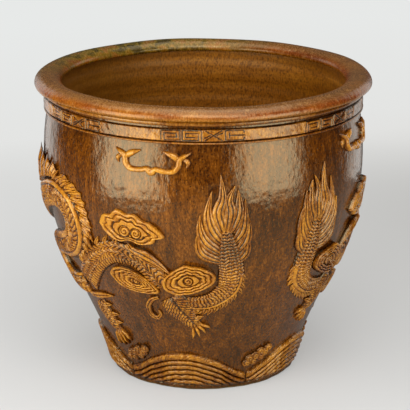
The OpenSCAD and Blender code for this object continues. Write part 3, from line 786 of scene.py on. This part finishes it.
# Relief of the dragons
def hide(height, cord, plates, pitch, lobe, sweep, seed):
    """Dragon's hide from its back at t = -1 to its belly at t = 1: a cord that sets in over a
    span of the length, warped scales on the flank and narrow plates under the belly."""
    def shape(d, total, t, w):
        across = t * w / 2
        near = np.minimum(d, total - d)
        rise = 0.3 + 0.7 * ease(near, 0, 12)
        dome = np.clip(1 - np.abs(t) ** 2.6, 0, 1) ** 0.5
        wob = waver(d * 0.11, across * 0.22, seed)
        tone = 0.78 + 0.12 * waver(d * 0.05, across * 0.1, seed + 1)
        lobes = np.abs(np.sin(np.pi * (across / lobe + 0.3 * wob)))
        phase = d / pitch + sweep * lobes + 0.35 * wob
        line = 1 - ease(tri(phase), 0.03, 0.62)
        faint = 0.3 + 0.4 * waver(d * 0.5, across * 0.6, seed + 2)
        twin = (1 - ease(tri(phase * 2 + 0.5), 0.05, 0.5)) * faint
        join = (1 - ease(lobes, 0.0, 0.34)) * ease(tri(phase), 0.25, 0.8)
        corded = ease(d / total, cord[0], cord[0] + 0.1) if cord[1] > 0 else 0 * d
        flank = (1 - corded + corded * ease(t, -0.62, -0.52)) * (1 - ease(t, plates - 0.05, plates + 0.05))
        belly = ease(t, plates, plates + 0.08)
        plate = 1 - ease(tri(d / 6.0 + 0.7 * (t - plates) + 0.2 * wob), 0.04, 0.5)
        h = height * rise * (0.1 + 0.9 * dome)
        h = h - flank * (1.9 * line + 0.7 * twin + 0.9 * join) - belly * 2.2 * plate
        tone = tone - flank * (0.66 * line + 0.3 * twin + 0.36 * join) - belly * 0.8 * plate
        bar = np.exp(-((t + 0.74) / 0.07) ** 2) * corded
        groove = (np.exp(-((t + 0.57) / 0.05) ** 2) + np.exp(-((t + 0.92) / 0.05) ** 2)) * corded
        comb = corded * (1 - ease(t, -0.92, -0.84)) * (1 - ease(tri(d / 4.6), 0.05, 0.6))
        seam = np.exp(-((t - plates) / 0.035) ** 2) * (plates < 0.9)
        h = h + 1.1 * bar * rise - 1.2 * groove - 0.7 * seam - 0.8 * comb
        tone = tone + 0.3 * bar - 0.6 * groove - 0.4 * seam - 0.4 * comb - 0.75 * ease(np.abs(t), 0.86, 1)
        return np.maximum(h, 0.25), tone
    return shape


def limb(height, seed):
    """Scaled limb parted by a line along it, with strokes that slant back from the line."""
    def shape(d, total, t, w):
        across = t * w / 2
        near = np.minimum(d * 2, total - d)
        rise = 0.4 + 0.6 * ease(near, 0, 12)
        dome = np.clip(1 - np.abs(t) ** 2.4, 0, 1) ** 0.5
        wob = waver(d * 0.16, across * 0.25, seed)
        mid = t + 0.12 + 0.1 * wob
        phase = (d - 0.75 * np.abs(across)) / 4.7 + 0.5 * wob
        line = 1 - ease(tri(phase), 0.04, 0.55)
        knots = 1 - ease(tri(across / 6.5 + 0.5 * np.floor(phase) + 0.2 * wob), 0.04, 0.4)
        parting = np.exp(-(mid / 0.07) ** 2)
        body = 1 - ease(np.abs(t), 0.84, 0.96)
        h = height * rise * (0.12 + 0.88 * dome) - body * (1.4 * line + 0.9 * knots) - 1.4 * parting
        tone = 0.78 - body * (0.6 * line + 0.4 * knots) - 0.7 * parting - 0.75 * ease(np.abs(t), 0.84, 1)
        return np.maximum(h, 0.25), tone
    return shape


def fan(bm, inner, tips, height, mirror, strands, rows, per):
    """Pointed locks from an inner line of points out to a line of tips and valleys."""
    n = len(tips)
    inner = np.asarray(inner, float)
    tips = np.asarray(tips, float)

    def shape(s, t):
        k = (t + 1) / 2 * (n - 1)
        j = np.clip(np.floor(k).astype(int), 0, n - 2)
        f = k - j
        fi = (t + 1) / 2 * (len(inner) - 1)
        ji = np.clip(np.floor(fi).astype(int), 0, len(inner) - 2)
        base = inner[ji] + (inner[ji + 1] - inner[ji]) * (fi - ji)[..., None]
        # Tips are hollow-sided like flames: the edge leaves a valley flat and climbs late
        is_tip = j % 2 == 1
        m = np.where(is_tip, 1 - f, f)
        ahead = tips[np.clip(j + 1, 0, n - 1)]
        tip = np.where(is_tip[..., None], tips[j], ahead)
        valley = np.where(is_tip[..., None], ahead, tips[j])
        edge = valley + (tip - valley) * (m ** 1.6)[..., None]
        side = base + (edge - base) * s[..., None]
        cut = 1 - ease(tri(m * strands * 0.5), 0.02, 0.55)
        valley_cut = 1 - ease(m, 0.0, 0.3)
        fall = 1 - 0.55 * ease(s, 0.45, 1.0)
        h = height * fall * (0.4 + 0.6 * np.sqrt(np.clip(m, 0, 1))) - cut * (1 - ease(s, 0.8, 1))
        h = h - 1.3 * valley_cut * (1 - 0.5 * s)
        h = h * (1 - 0.5 * ease(np.abs(t), 0.985, 1.0)) * (1 - 0.7 * ease(0.04 - s, 0, 0.04))
        tone = 0.8 - 0.55 * cut * (1 - ease(s, 0.85, 1)) - 0.6 * valley_cut
        tone = tone - 0.4 * ease(0.08 - s, 0, 0.08) - 0.3 * ease(s, 0.8, 1)
        return side[..., 0], side[..., 1] * NECK_Z / 100, np.maximum(h, 0.3), tone

    sheet(bm, rows, (n - 1) * per + 1, shape, mirror)


def cloud_shape(height, bands, heart, curls, seed, lobes):
    """Cloud of rounded bands that follow its outline, with curls in its heart. curls lists
    x, y, radius, pitch and hand of each, in mm from the centre."""
    def shape(rho, turn, x, y):
        wob = waver(x * 0.1, y * 0.1, seed)
        scallop = np.abs(np.sin(np.pi * (lobes * turn + 0.13 * seed))) - 0.6
        scallop = 0.34 * scallop * ease(1 - rho, 0.02, 0.2)
        k = np.clip((1 - rho) / (1 - heart) * bands * (1 + 0.08 * wob) + scallop, 0, None)
        ridge = roll(k)
        core = 1 - ease(rho, heart - 0.01, heart + 0.01)
        middle = ease(heart - rho, 0, 0.07)
        for cx, cy, r_max, pitch, hand in curls:
            r = np.hypot(x - cx, y - cy)
            turned = r / pitch - (np.arctan2(y - cy, (x - cx) * hand) + 0.8) / (2 * math.pi)
            ringed = 1 - 0.9 * np.exp(-((r - r_max) / 0.9) ** 2)
            middle = np.where(r < r_max, roll(turned), middle) * ringed
        ridge = ridge * (1 - core) + middle * core
        ridge = np.where(rho > heart, ridge * (1 - np.exp(-((rho - heart) / 0.02) ** 2)), ridge)
        h = height * 0.52 + 0.6 * wob * (rho < 0.9) + height * 0.5 * ridge - 0.8 * (1 - ease(rho, 0.2, 0.8))
        h = h * (0.35 + 0.65 * ease(1 - rho, 0, 0.05))
        return np.maximum(h, 0.3), 0.03 + 0.86 * ridge + 0.05 * wob
    return shape


def beast_face(rho, turn, x, y):
    """Long-jawed beast's head: domed, with brow, eye, nostril and a lined jaw."""
    edge = np.clip(1 - rho, 0, 1)
    dome = ease(edge, 0, 0.25)
    h = 8.2 * (0.25 + 0.75 * dome)
    tone = 0.3 + 0.5 * dome
    eye = np.hypot(x + 4, y - 9)
    h = h + 1.2 * np.exp(-(eye / 3.2) ** 2) - 1.2 * np.exp(-((eye - 5) / 1.2) ** 2)
    tone = tone - 0.6 * np.exp(-((eye - 5) / 1.3) ** 2) - 0.5 * np.exp(-(eye / 1.4) ** 2)
    jaw = np.abs(y + 4 + 0.12 * x)
    open_jaw = (1 - ease(jaw, 0.6, 2)) * ease(x, -4, 4)
    h = h - 2.2 * open_jaw
    tone = tone - 0.7 * open_jaw
    nose = np.hypot(x - 26, y - 6)
    h = h - 1.6 * np.exp(-(nose / 2) ** 2)
    tone = tone - 0.5 * np.exp(-(nose / 2.2) ** 2)
    hair = (1 - ease(tri(turn * 46 + rho), 0.1, 0.5)) * (1 - ease(x, -22, -10))
    return h - 1.1 * hair, tone - 0.5 * hair


# Dragon pieces, as azimuth, percent of wall height and width. The left dragon mirrors the right
BODY_W = 42.0


def body(points):
    """Stretch of the dragon with its widths given as shares of the body's."""
    return [(u, v, BODY_W * k) for u, v, k in points]


COIL = body([
    (147, 67, 0.6), (139, 59.5, 0.75), (129, 56.4, 0.85), (119, 59.6, 0.9), (111, 65, 0.95), (103.5, 69.2, 1),
    (96, 72.2, 1), (88.4, 73.8, 1), (81.6, 71.8, 1), (78.2, 66.6, 1), (78.8, 60.6, 1), (82.6, 56.2, 1),
    (88.8, 53.8, 1), (95.4, 52.6, 0.93), (101, 50.4, 0.84), (103.4, 45.8, 0.78), (101, 41, 0.78),
    (95.4, 38.6, 0.8), (90.4, 38, 0.82), (84.6, 38.8, 0.84)])
ARCH = body([
    (81.2, 40.6, 0.86), (76, 46.4, 0.9), (69, 53, 0.86), (61, 57.6, 0.84), (53, 57.8, 0.8),
    (46.8, 54.6, 0.78), (43, 50, 0.74), (41, 46, 0.6)])
TAIL = body([
    (18, 70.5, 0.3), (17, 64, 0.62), (16, 58, 0.8), (15.2, 52, 0.88), (16, 46, 0.8),
    (21, 41.6, 0.66), (26, 40, 0.58), (32.5, 39.8, 0.44)])
HIND_LEG = body([(39, 41.6, 0.84), (36, 37.6, 0.94), (31.8, 32.6, 0.62), (28, 28.6, 0.4)])
FORE_LEG = body([(79, 32.8, 0.66), (77, 28.8, 0.7), (74.8, 24.4, 0.54), (72.6, 20.8, 0.4)])
# Each flame of the tail: its four points and its width
FLAMES = (
    ([(19.5, 57.5), (25.5, 60.5), (27.2, 65), (27, 70.3)], 13),
    ([(19.5, 61), (24.5, 65), (26.6, 70), (26.6, 75.8)], 14),
    ([(19, 65), (22.5, 69.5), (24, 76), (22.8, 84.2)], 15),
    ([(18.5, 69), (20.5, 76), (19.2, 82), (19.8, 90)], 15),
    ([(17.5, 69), (16.5, 76), (17, 81), (15, 86)], 14),
    ([(13.4, 57.5), (10.8, 60.5), (10.4, 65), (11.6, 69.5)], 12),
    ([(13.8, 61), (11, 65), (10.2, 70), (10.8, 76)], 13),
    ([(14.8, 65), (12.2, 69.5), (11.6, 75), (11.6, 81)], 13),
    ([(16, 69), (13.8, 75), (13.6, 80), (14, 84.5)], 13))


def model_coil(bm, mirror):
    ribbon(bm, COIL, 55, hide(9.8, (0, 1), 0.42, 6.4, 34.0, 1.6, 11), mirror, 0.85)


def model_arch(bm, mirror):
    ribbon(bm, ARCH, 53, hide(7.6, (0.5, 0), 0.42, 6.8, 10.5, 1.1, 12), mirror, 0.85)
    spikes(bm, ARCH, (0.42, 0.56), 3, -BODY_W * 0.36, 15, 8, 40, 4.0, mirror, 5)
    spikes(bm, ARCH, (0.86, 0.97), 3, -BODY_W * 0.28, 13, 7, 62, 4.0, mirror, 6)


def model_tail(bm, mirror):
    ribbon(bm, TAIL, 53, hide(7.6, (0.42, 1), 1.2, 4.8, 6.6, 0.4, 13), mirror)
    spikes(bm, TAIL, (0.46, 0.92), 13, -BODY_W * 0.29, 11.5, 8.5, 30, 4.0, mirror, 7)


def model_tail_flame(bm, mirror):
    for path, wide in FLAMES:
        wides = (wide, wide * 1.25, wide * 0.85, 1.2)
        ribbon(bm, [(u, v, k) for (u, v), k in zip(path, wides)], 25, lock(6.4, 3), mirror)


def model_back_fins(bm, mirror):
    inner = [(86, 79.6), (80.4, 78.2), (76.4, 75.2), (73.4, 71), (73, 66.2), (73.3, 60.8)]
    tips = [
        (84.8, 82.2), (80.4, 82.6), (79, 80.6), (75.6, 80.6), (74.4, 78.4), (72, 78), (72.2, 75.6),
        (70.2, 74.6), (70.8, 72.6), (69.4, 71), (70, 69.2), (68.8, 67.4), (69.8, 65.6), (68.8, 64),
        (70, 62.4), (69.4, 61), (71.4, 60)]
    fan(bm, inner, tips, 4.4, mirror, 3, 24, 9)
    spikes(bm, COIL, (0.48, 0.67), 12, -BODY_W * 0.47, 24, 10, 40, 6.6, mirror, 3)


def model_mane(bm, mirror):
    inner = [(117.5, 67.6), (110.5, 71.8), (103, 75.6), (95, 78.6), (88.2, 80.2)]
    tips = [
        (120.5, 71.5), (121, 78.5), (117, 79.6), (116, 86), (111.6, 84.2), (108.6, 88.6), (105, 83.4),
        (101.4, 87.6), (98.8, 82.6), (94.6, 87), (92.4, 83), (89, 86.4), (87.4, 82.6)]
    fan(bm, inner, tips, 9.5, mirror, 4, 40, 13)


def model_leg(bm, mirror, path, claw, tufts):
    """Scaled leg with tufts behind it and four claws that spread from its end. tufts lists each
    tuft's share of the length, step across, lean and length."""
    ribbon(bm, path, 39, limb(6.8, len(tufts)), mirror)
    for f, across, lean, reach in tufts:
        base, head = beside(path, f, across)
        out = np.array([-head[1], head[0]]) * (1 if across > 0 else -1)
        blade(bm, base, out * math.cos(lean) + head * math.sin(lean), reach, 8, 0, 4.6, mirror)
    a, b = np.array(path[-2][:2]), np.array(path[-1][:2])
    z = b[1] * NECK_Z / 100
    mm = float(per_deg(z))
    run = np.array([(b[0] - a[0]) * mm, (b[1] - a[1]) * NECK_Z / 100])
    run = run / np.hypot(*run)
    side_way = np.array([-run[1], run[0]])
    for k in (-1.5, -0.5, 0.5, 1.5):
        start = side_way * k * 3.6 - run * 4.0
        mid = side_way * k * 8 + run * (7 - abs(k))
        tip = side_way * (k * 10.5 + 3) + run * (claw - abs(k) * 3.4)
        widths = ((start, 5.0), (mid, 4.6), (tip, 0.8))
        pts = [(b[0] + p[0] / mm, (z + p[1]) * 100 / NECK_Z, wide) for p, wide in widths]
        ribbon(bm, pts, 11, rod(6.2, 7), mirror)


def model_hind_leg(bm, mirror):
    model_leg(bm, mirror, HIND_LEG, 17, [(0.55, -BODY_W * 0.3, 0.5, 11), (0.75, -BODY_W * 0.22, 0.4, 10)])


def model_fore_leg(bm, mirror):
    tufts = ((0.12, 0.24, 0.2, 15), (0.42, 0.26, 0.2, 15), (0.7, 0.2, 0.3, 12))
    model_leg(bm, mirror, FORE_LEG, 23, [(f, -BODY_W * k, lean, reach) for f, k, lean, reach in tufts])


def model_elbow_fin(bm, mirror):
    path = [(85, 34.6, 7), (80.6, 35, 10), (76, 35.9, 11), (72, 36.8, 9), (66.8, 37.6, 1.5)]
    ribbon(bm, path, 19, lock(5.8, 2), mirror)


def model_curl(bm, mirror):
    path = [
        (43.8, 41.2, 5), (46.8, 40, 8), (48.8, 37, 8.5), (48.6, 33.6, 8.5), (46.2, 31.9, 7.5),
        (44.2, 33.6, 5.5), (44.6, 35.6, 3)]
    ribbon(bm, path, 19, lock(6.6, 2), mirror, 0.7)


def model_head(bm, mirror):
    outline = [
        (149.4, 66), (153, 63), (158, 64.6), (164, 63.6), (167, 67), (163.4, 69), (168.4, 72), (168, 77),
        (163, 78), (158, 81), (153, 84.4), (151.6, 78), (148, 72)]
    pad(bm, (157, 71), outline, 84, beast_face, mirror)


def model_upper_cloud(bm, mirror):
    """Cloud with two curls in its heart, and the leaf that trails from it over the arch."""
    outline = [
        (63.4, 69.4), (61.8, 72.6), (58.6, 73.4), (56, 75.6), (52.4, 74.4), (49.4, 74.6), (46.4, 72.6),
        (42.6, 71.2), (38.6, 66.8), (41.6, 65.6), (42.8, 63.8), (47.6, 63), (51.6, 64.2), (55.6, 63.2),
        (60.4, 65.2)]
    curls = [(8.6, -0.5, 8.2, 4.4, 1), (-8.2, -1.5, 7.6, 4.2, -1)]
    pad(bm, (51, 67.6), outline, 120, cloud_shape(7.2, 2, 0.56, curls, 21, 11), mirror)
    leaf = [
        (52.8, 62.4, 7), (49.8, 60, 14), (46.4, 58.5, 19), (42.6, 56.1, 13), (39.4, 53.4, 7),
        (37.5, 52, 1.5)]
    ribbon(bm, leaf, 31, lock(10.2, 3), mirror)


def model_low_cloud(bm, mirror):
    outline = [
        (63.4, 48.8), (61.8, 51.2), (59, 52.4), (55.8, 52.6), (52.6, 52), (49.6, 50.6), (46.4, 48.6),
        (43.8, 46), (42.6, 43.6), (45.6, 42.8), (49, 42.6), (53, 42.8), (57, 43.6), (60.4, 45.2)]
    pad(bm, (51.6, 47.4), outline, 120, cloud_shape(6.8, 4, 0.24, [(0, 0, 4.6, 3.6, 1)], 22, 10), mirror)


def model_front_cloud(bm, mirror):
    outline = [
        (41.4, 48.9), (39.6, 51), (37.2, 53.2), (34.8, 54.8), (32.2, 56.2), (29.8, 55.7), (27.2, 55.5),
        (24.2, 54.5), (21.8, 53), (20.6, 50.9), (21.4, 48.8), (23.4, 47.1), (25.8, 45.8), (28.5, 44.5),
        (31.8, 43.7), (35, 43.3), (38.2, 43.8), (40.8, 45.6)]
    pad(bm, (31, 49.6), outline, 120, cloud_shape(7.8, 3, 0.42, [(0.5, -0.5, 6.4, 4.4, 1)], 23, 10), mirror)


DRAGON = {
    "coil": model_coil,
    "arch": model_arch,
    "tail": model_tail,
    "tail_flame": model_tail_flame,
    "back_fins": model_back_fins,
    "mane": model_mane,
    "hind_leg": model_hind_leg,
    "fore_leg": model_fore_leg,
    "elbow_fin": model_elbow_fin,
    "curl": model_curl,
    "head": model_head,
    "upper_cloud": model_upper_cloud,
    "low_cloud": model_low_cloud,
    "front_cloud": model_front_cloud,
}


def build_dragon(side):
    for part, model in DRAGON.items():
        bm = bmesh.new()
        model(bm, side == "left")
        finish_piece(f"{side}_{part}_clay", bm, [OCHRE], [f"{side}_{part}"])


# Pearl between the dragons' heads, at the back of the jar
PEARL_AZ = 180
PEARL_V = 70.0
PEARL_R = 19


def build_pearl():
    z = PEARL_V * NECK_Z / 100
    mm = float(per_deg(z))

    def ball(rho, turn, x, y):
        h = 1 + 7.5 * np.sqrt(np.clip(1 - rho**2, 0, 1))
        cut = 1 - roll(np.hypot(x, y) / 6 - np.arctan2(y, x) / (2 * math.pi))
        return h - 1.0 * cut, 0.8 - 0.5 * cut

    def ray(deg, d):
        a = math.radians(deg)
        return (PEARL_AZ - d * math.sin(a) / mm, PEARL_V + d * math.cos(a) * 100 / NECK_Z)

    ring = [
        (PEARL_AZ + PEARL_R * math.cos(a) / mm, PEARL_V + PEARL_R * math.sin(a) * 100 / NECK_Z)
        for a in np.linspace(0, 2 * math.pi, 25)[:-1]]
    bm = bmesh.new()
    pad(bm, (PEARL_AZ, PEARL_V), ring, 60, ball, False)
    finish_piece("pearl_clay", bm, [OCHRE], ["pearl"])
    tips = [ray(-140 + 14 * j, PEARL_R + (7 if j % 2 == 0 else 20 - abs(j - 10) * 0.8)) for j in range(21)]
    bm = bmesh.new()
    fan(bm, [ray(a, 20.5) for a in range(-140, 141, 20)], tips, 5.0, False, 4, 30, 9)
    finish_piece("pearl_flame_clay", bm, [OCHRE], ["pearl_flame"])


# Waves
MOUNDS = 5
MOUND_PITCH = 360 / MOUNDS
FOAM_Z = WAVE_LOW + 28
FOAM_TILT = math.radians(28)
# Each ball of a run of foam: place along and across the run, and radius
FOAM_BALLS = (
    (-18.6, -1, 6.8), (-11.6, 4, 6.8), (-9, -5, 6), (-2.6, 2, 7.8), (3.4, -5.4, 6), (6.4, 5, 6.6),
    (11.4, -1.6, 7.4), (18.6, 2, 6.8))


def build_wave(k, at):
    """Mound of ridges that follow its crest, notched along the top."""
    half = MOUND_PITCH / 2 - 0.6

    def shape(s, t):
        # t runs up the mound and s round the jar
        du = half * (2 * s - 1)
        crest = WAVE_LOW + (WAVE_TOP - WAVE_LOW) * np.cos(np.pi / 2 * du / (half + 4)) ** 1.5
        crest = crest + 1.5 * waver(du * 0.35, 0 * du, k)
        z = FOOT_EDGE + (crest - FOOT_EDGE) * (t + 1) / 2
        below = crest - z
        wob = waver(du * 0.5, z * 0.08, 5 + k)
        warped = below * (1 + 0.05 * wob)
        ridge = np.where(warped < 12, warped / 12, 1 + (warped - 12) / 8.0)
        hump = roll(ridge, 0.62)
        band = 1 - ease(below, 9, 11)
        rough = 0.5 + 0.5 * waver(du * 0.8, below * 0.4, 30 + k)
        notch = (1 - ease(tri(du * 0.42 + 0.16 * below + 1.3 * wob), 0.05, 0.7)) * band * rough
        h = 0.7 + 5.0 * hump - 1.9 * notch + 0.7 * wob * hump
        h = h * (0.4 + 0.6 * ease(below, 0, 2.0)) * (0.5 + 0.5 * ease(half - np.abs(du), 0, 1.6))
        fade = ease(z, FOOT_EDGE, FOOT_EDGE + 7)
        h = 0.8 + (h - 0.8) * (0.35 + 0.65 * fade)
        tone = 0.02 + 0.8 * hump - 0.4 * notch + 0.12 * wob + 0.14 * band
        return at + du, z, np.maximum(h, 0.25), tone * (0.45 + 0.55 * fade)

    bm = bmesh.new()
    sheet(bm, 260, 90, shape)
    finish_piece(f"wave_mound_{k}", bm, [AMBER], [f"wave_{k}"])


def foam_ball(hand):
    """Round curl of foam that turns one way or the other."""
    def shape(rho, turn, x, y):
        arm = roll(np.hypot(x, y) / 3.6 - np.arctan2(y, x * hand) / (2 * math.pi))
        dome = np.sqrt(np.clip(1 - rho**2, 0, 1))
        return 1.4 + 3.6 * dome + 2.6 * arm * dome, 0.06 + 0.24 * dome + 0.68 * arm * dome
    return shape


def foam_skirt(rho, turn, x, y):
    return 0.6 + 2.2 * ease(1 - rho, 0, 0.3), 0.2 + 0 * rho


def build_foam(k, at):
    """Run of foam that climbs from the hollow between two mounds."""
    mm = float(per_deg(FOAM_Z))
    bm = bmesh.new()

    def put(x, y):
        """Place along and across the run, in mm, as azimuth and percent of wall height."""
        rise = x * math.sin(FOAM_TILT) + y * math.cos(FOAM_TILT)
        return (at + (x * math.cos(FOAM_TILT) - y * math.sin(FOAM_TILT)) / mm, (FOAM_Z + rise) * 100 / NECK_Z)

    def disc(x, y, long, wide, shape):
        turns = np.linspace(0, 2 * math.pi, 17)[:-1]
        ring = [put(x + long * math.cos(a), y + wide * math.sin(a)) for a in turns]
        pad(bm, put(x, y), ring, 30, shape, False)

    disc(0, 0, 23, 8.6, foam_skirt)
    for j, (x, y, r) in enumerate(FOAM_BALLS):
        disc(x, y, r, r, foam_ball(1 if j % 2 else -1))
    finish_piece(f"foam_curl_{k}", bm, [AMBER], [f"foam_{k}"])


build_wall()
build_base()
build_rim()
build_bead("collar_bead", AMBER, COLLAR_Z, COLLAR_H, COLLAR_OUT, 1)
build_bead("neck_bead", OCHRE, BEAD_Z, BEAD_H, BEAD_OUT, 4)
for k in range(STRIPS):
    build_fret(k)
for name, at in (("far_left", -137), ("near_left", -43), ("near_right", 43), ("far_right", 137)):
    build_bail("bail_" + name, at)
for side in ("left", "right"):
    build_dragon(side)
build_pearl()
for k, at in enumerate((-108, -36, 36, 108, 180)):
    build_wave(k + 1, at)
for k, at in enumerate((-144, -64, 5, 72, 144)):
    build_foam(k + 1, at)

# Camera, as the photograph was taken: the picture's width, focal length and shift in pixels, the
# sensor's width in mm, its angles in degrees, and its distance and the height it aims at in metres
PHOTO_W = 410
FOCAL = 1792
SENSOR_W = 36
VIEW_AZ = -25.5
VIEW_EL = 17.03
VIEW_DIST = 2.6
AIM_Z = 0.2327
PICTURE_SHIFT = 1.6
# Floor in metres: half its side, and the painted shadow to the right of the jar and behind it
FLOOR_HALF = 8.0
SHADOW_AT = (0.55, 0.62)
SHADOW_SIZE = (0.6, 0.8)
# Windows at the front: azimuth from the camera, lowest and highest edge, width, radiance and how
# many of the nested panels light the clay's own colour as well as its gloss
WINDOWS = {
    "front_left_light": (-46, 0.095, 0.735, 0.57, 1.42, 2),
    "front_right_light": (41.4, 0.12, 0.71, 0.55, 1.24, 1),
}
WINDOW_DIST = 0.81
NEST = 0.04
TOP_SIDE = 1.8
TOP_Z = 1.9
TOP_RADIANCE = 1.5


def around(az, r, z):
    """Point at an azimuth from the camera's own, a radius and a height, in metres."""
    a = math.radians(VIEW_AZ + az)
    return (r * math.sin(a), -r * math.cos(a), z)


def floor_colour(tree, at):
    """Pale floor with painted light that brightens it into the distance and to the left, and a painted shadow
    in a patch beside the jar.
    """
    spin = (0, 0, math.radians(-VIEW_AZ))
    turned = node(tree, "ShaderNodeMapping", {"Vector": at, "Rotation": spin}).outputs[0]
    across, away = node(tree, "ShaderNodeSeparateXYZ", {"Vector": turned}).outputs[:2]
    # Painted light: the floor brightens into the distance and towards the left
    far = ranged(tree, away, 0.9, 2.6, 0.0, 0.42)
    lean = ranged(tree, across, -0.6, 0.6, 0.05, -0.05)
    shadow_spot = node(tree, "ShaderNodeMapping", {
        "Vector": turned,
        "Location": (-SHADOW_AT[0] / SHADOW_SIZE[0], -SHADOW_AT[1] / SHADOW_SIZE[1], 0),
        "Scale": (1 / SHADOW_SIZE[0], 1 / SHADOW_SIZE[1], 0)}).outputs[0]
    reach = node(tree, "ShaderNodeVectorMath", {0: shadow_spot}, operation="LENGTH").outputs["Value"]
    # Painted shadow: a soft dark patch to the right of the jar and behind it
    painted_shadow = ranged(tree, reach, 0.0, 1.15, 0.55, 0.0)
    level = maths(tree, "SUBTRACT", plus(tree, plus(tree, far, lean), 0.58), painted_shadow, True)
    return ramp(tree, level, [(0.0, (192, 191, 188)), (0.55, (226, 226, 224)), (1.0, (231, 233, 232))])


def pale_floor():
    """Floor that takes the jar's real shadow near it and shows the camera, further off, its colour with
    painted light and a painted shadow.
    """
    mat = bpy.data.materials.new("pale_floor")
    mat.use_nodes = True
    tree = mat.node_tree
    tree.nodes.clear()
    out = tree.nodes.new("ShaderNodeOutputMaterial")
    at = object_place(tree)
    path = node(tree, "ShaderNodeLightPath")
    shade = mix(tree, path.outputs["Is Glossy Ray"], (0.68, 0.675, 0.66, 1), (0.42, 0.41, 0.39, 1))
    plain = node(tree, "ShaderNodeBsdfDiffuse", {"Color": shade})
    glow = node(tree, "ShaderNodeEmission", {"Color": floor_colour(tree, at), "Strength": 1.0})
    off = node(tree, "ShaderNodeVectorMath", {0: at}, operation="LENGTH").outputs["Value"]
    share = times(tree, path.outputs["Is Camera Ray"], ranged(tree, off, 0.2, 1.3, 0.45, 1.0))
    both = node(tree, "ShaderNodeMixShader", {0: share, 1: plain.outputs[0], 2: glow.outputs[0]})
    tree.links.new(both.outputs[0], out.inputs[0])
    return mat


def build_floor():
    bm = bmesh.new()
    bmesh.ops.create_grid(bm, x_segments=1, y_segments=1, size=FLOOR_HALF)
    mesh = bpy.data.meshes.new("floor")
    bm.to_mesh(mesh)
    bm.free()
    mesh.materials.append(pale_floor())
    floor = bpy.data.objects.new("floor", mesh)
    bpy.context.scene.collection.objects.link(floor)


def lamp(name, width, height, radiance, place, turn):
    """Soft rectangle of light that the camera doesn't see."""
    data = bpy.data.lights.new(name, "AREA")
    data.shape = "RECTANGLE"
    data.size = width
    data.size_y = height
    data.energy = radiance * math.pi * width * height
    made = bpy.data.objects.new(name, data)
    bpy.context.scene.collection.objects.link(made)
    made.location = place
    made.rotation_euler = turn
    made.visible_camera = False
    return made


def panel(name, az, dist, z0, z1, width, radiance, tip=0):
    """Soft light that faces the jar, upright or tipped down."""
    turn = (math.radians(90 - tip), 0, math.radians(VIEW_AZ + az))
    return lamp(name, width, z1 - z0, radiance, around(az, dist, (z0 + z1) / 2), turn)


def build_lights():
    # Three nested panels a side give the window light its soft border
    for j in range(3):
        inset = NEST * (j - 1)
        for name, (az, z0, z1, width, radiance, lit) in WINDOWS.items():
            dist = WINDOW_DIST + 0.1 * inset
            window = panel(f"{name}_{j + 1}", az, dist, z0 + inset, z1 - inset, width - 2.5 * inset, radiance)
            window.visible_diffuse = j < lit
    fill = panel("front_fill_light", -6, 1.3, 0.25, 1.05, 0.7, 2.7)
    fill.visible_glossy = False
    panel("back_left_light", -132, 0.95, 0.03, 0.9, 0.5, 1.05)
    panel("back_right_light", 128, 0.95, 0.03, 0.9, 0.5, 1.0)
    panel("front_top_light", 6, 1.05, 1.0, 1.9, 1.0, 4.1, 45)
    lamp("top_light", TOP_SIDE, TOP_SIDE, TOP_RADIANCE, (0, 0, TOP_Z), (0, 0, 0))
    world = bpy.data.worlds.new("studio")
    bpy.context.scene.world = world
    world.use_nodes = True
    back = world.node_tree.nodes["Background"]
    back.inputs[0].default_value = (0.9, 0.9, 0.9, 1)
    back.inputs[1].default_value = 0.07


def build_camera():
    data = bpy.data.cameras.new("camera")
    data.sensor_width = SENSOR_W
    data.lens = FOCAL / PHOTO_W * SENSOR_W
    data.clip_start = 0.05
    data.shift_x = PICTURE_SHIFT / PHOTO_W
    cam = bpy.data.objects.new("camera", data)
    bpy.context.scene.collection.objects.link(cam)
    e = math.radians(VIEW_EL)
    cam.location = around(0, VIEW_DIST * math.cos(e), AIM_Z + VIEW_DIST * math.sin(e))
    cam.rotation_euler = (math.radians(90 - VIEW_EL), 0, math.radians(VIEW_AZ))
    bpy.context.scene.camera = cam


build_floor()
build_lights()
build_camera()
bpy.context.scene.view_settings.view_transform = "Standard"
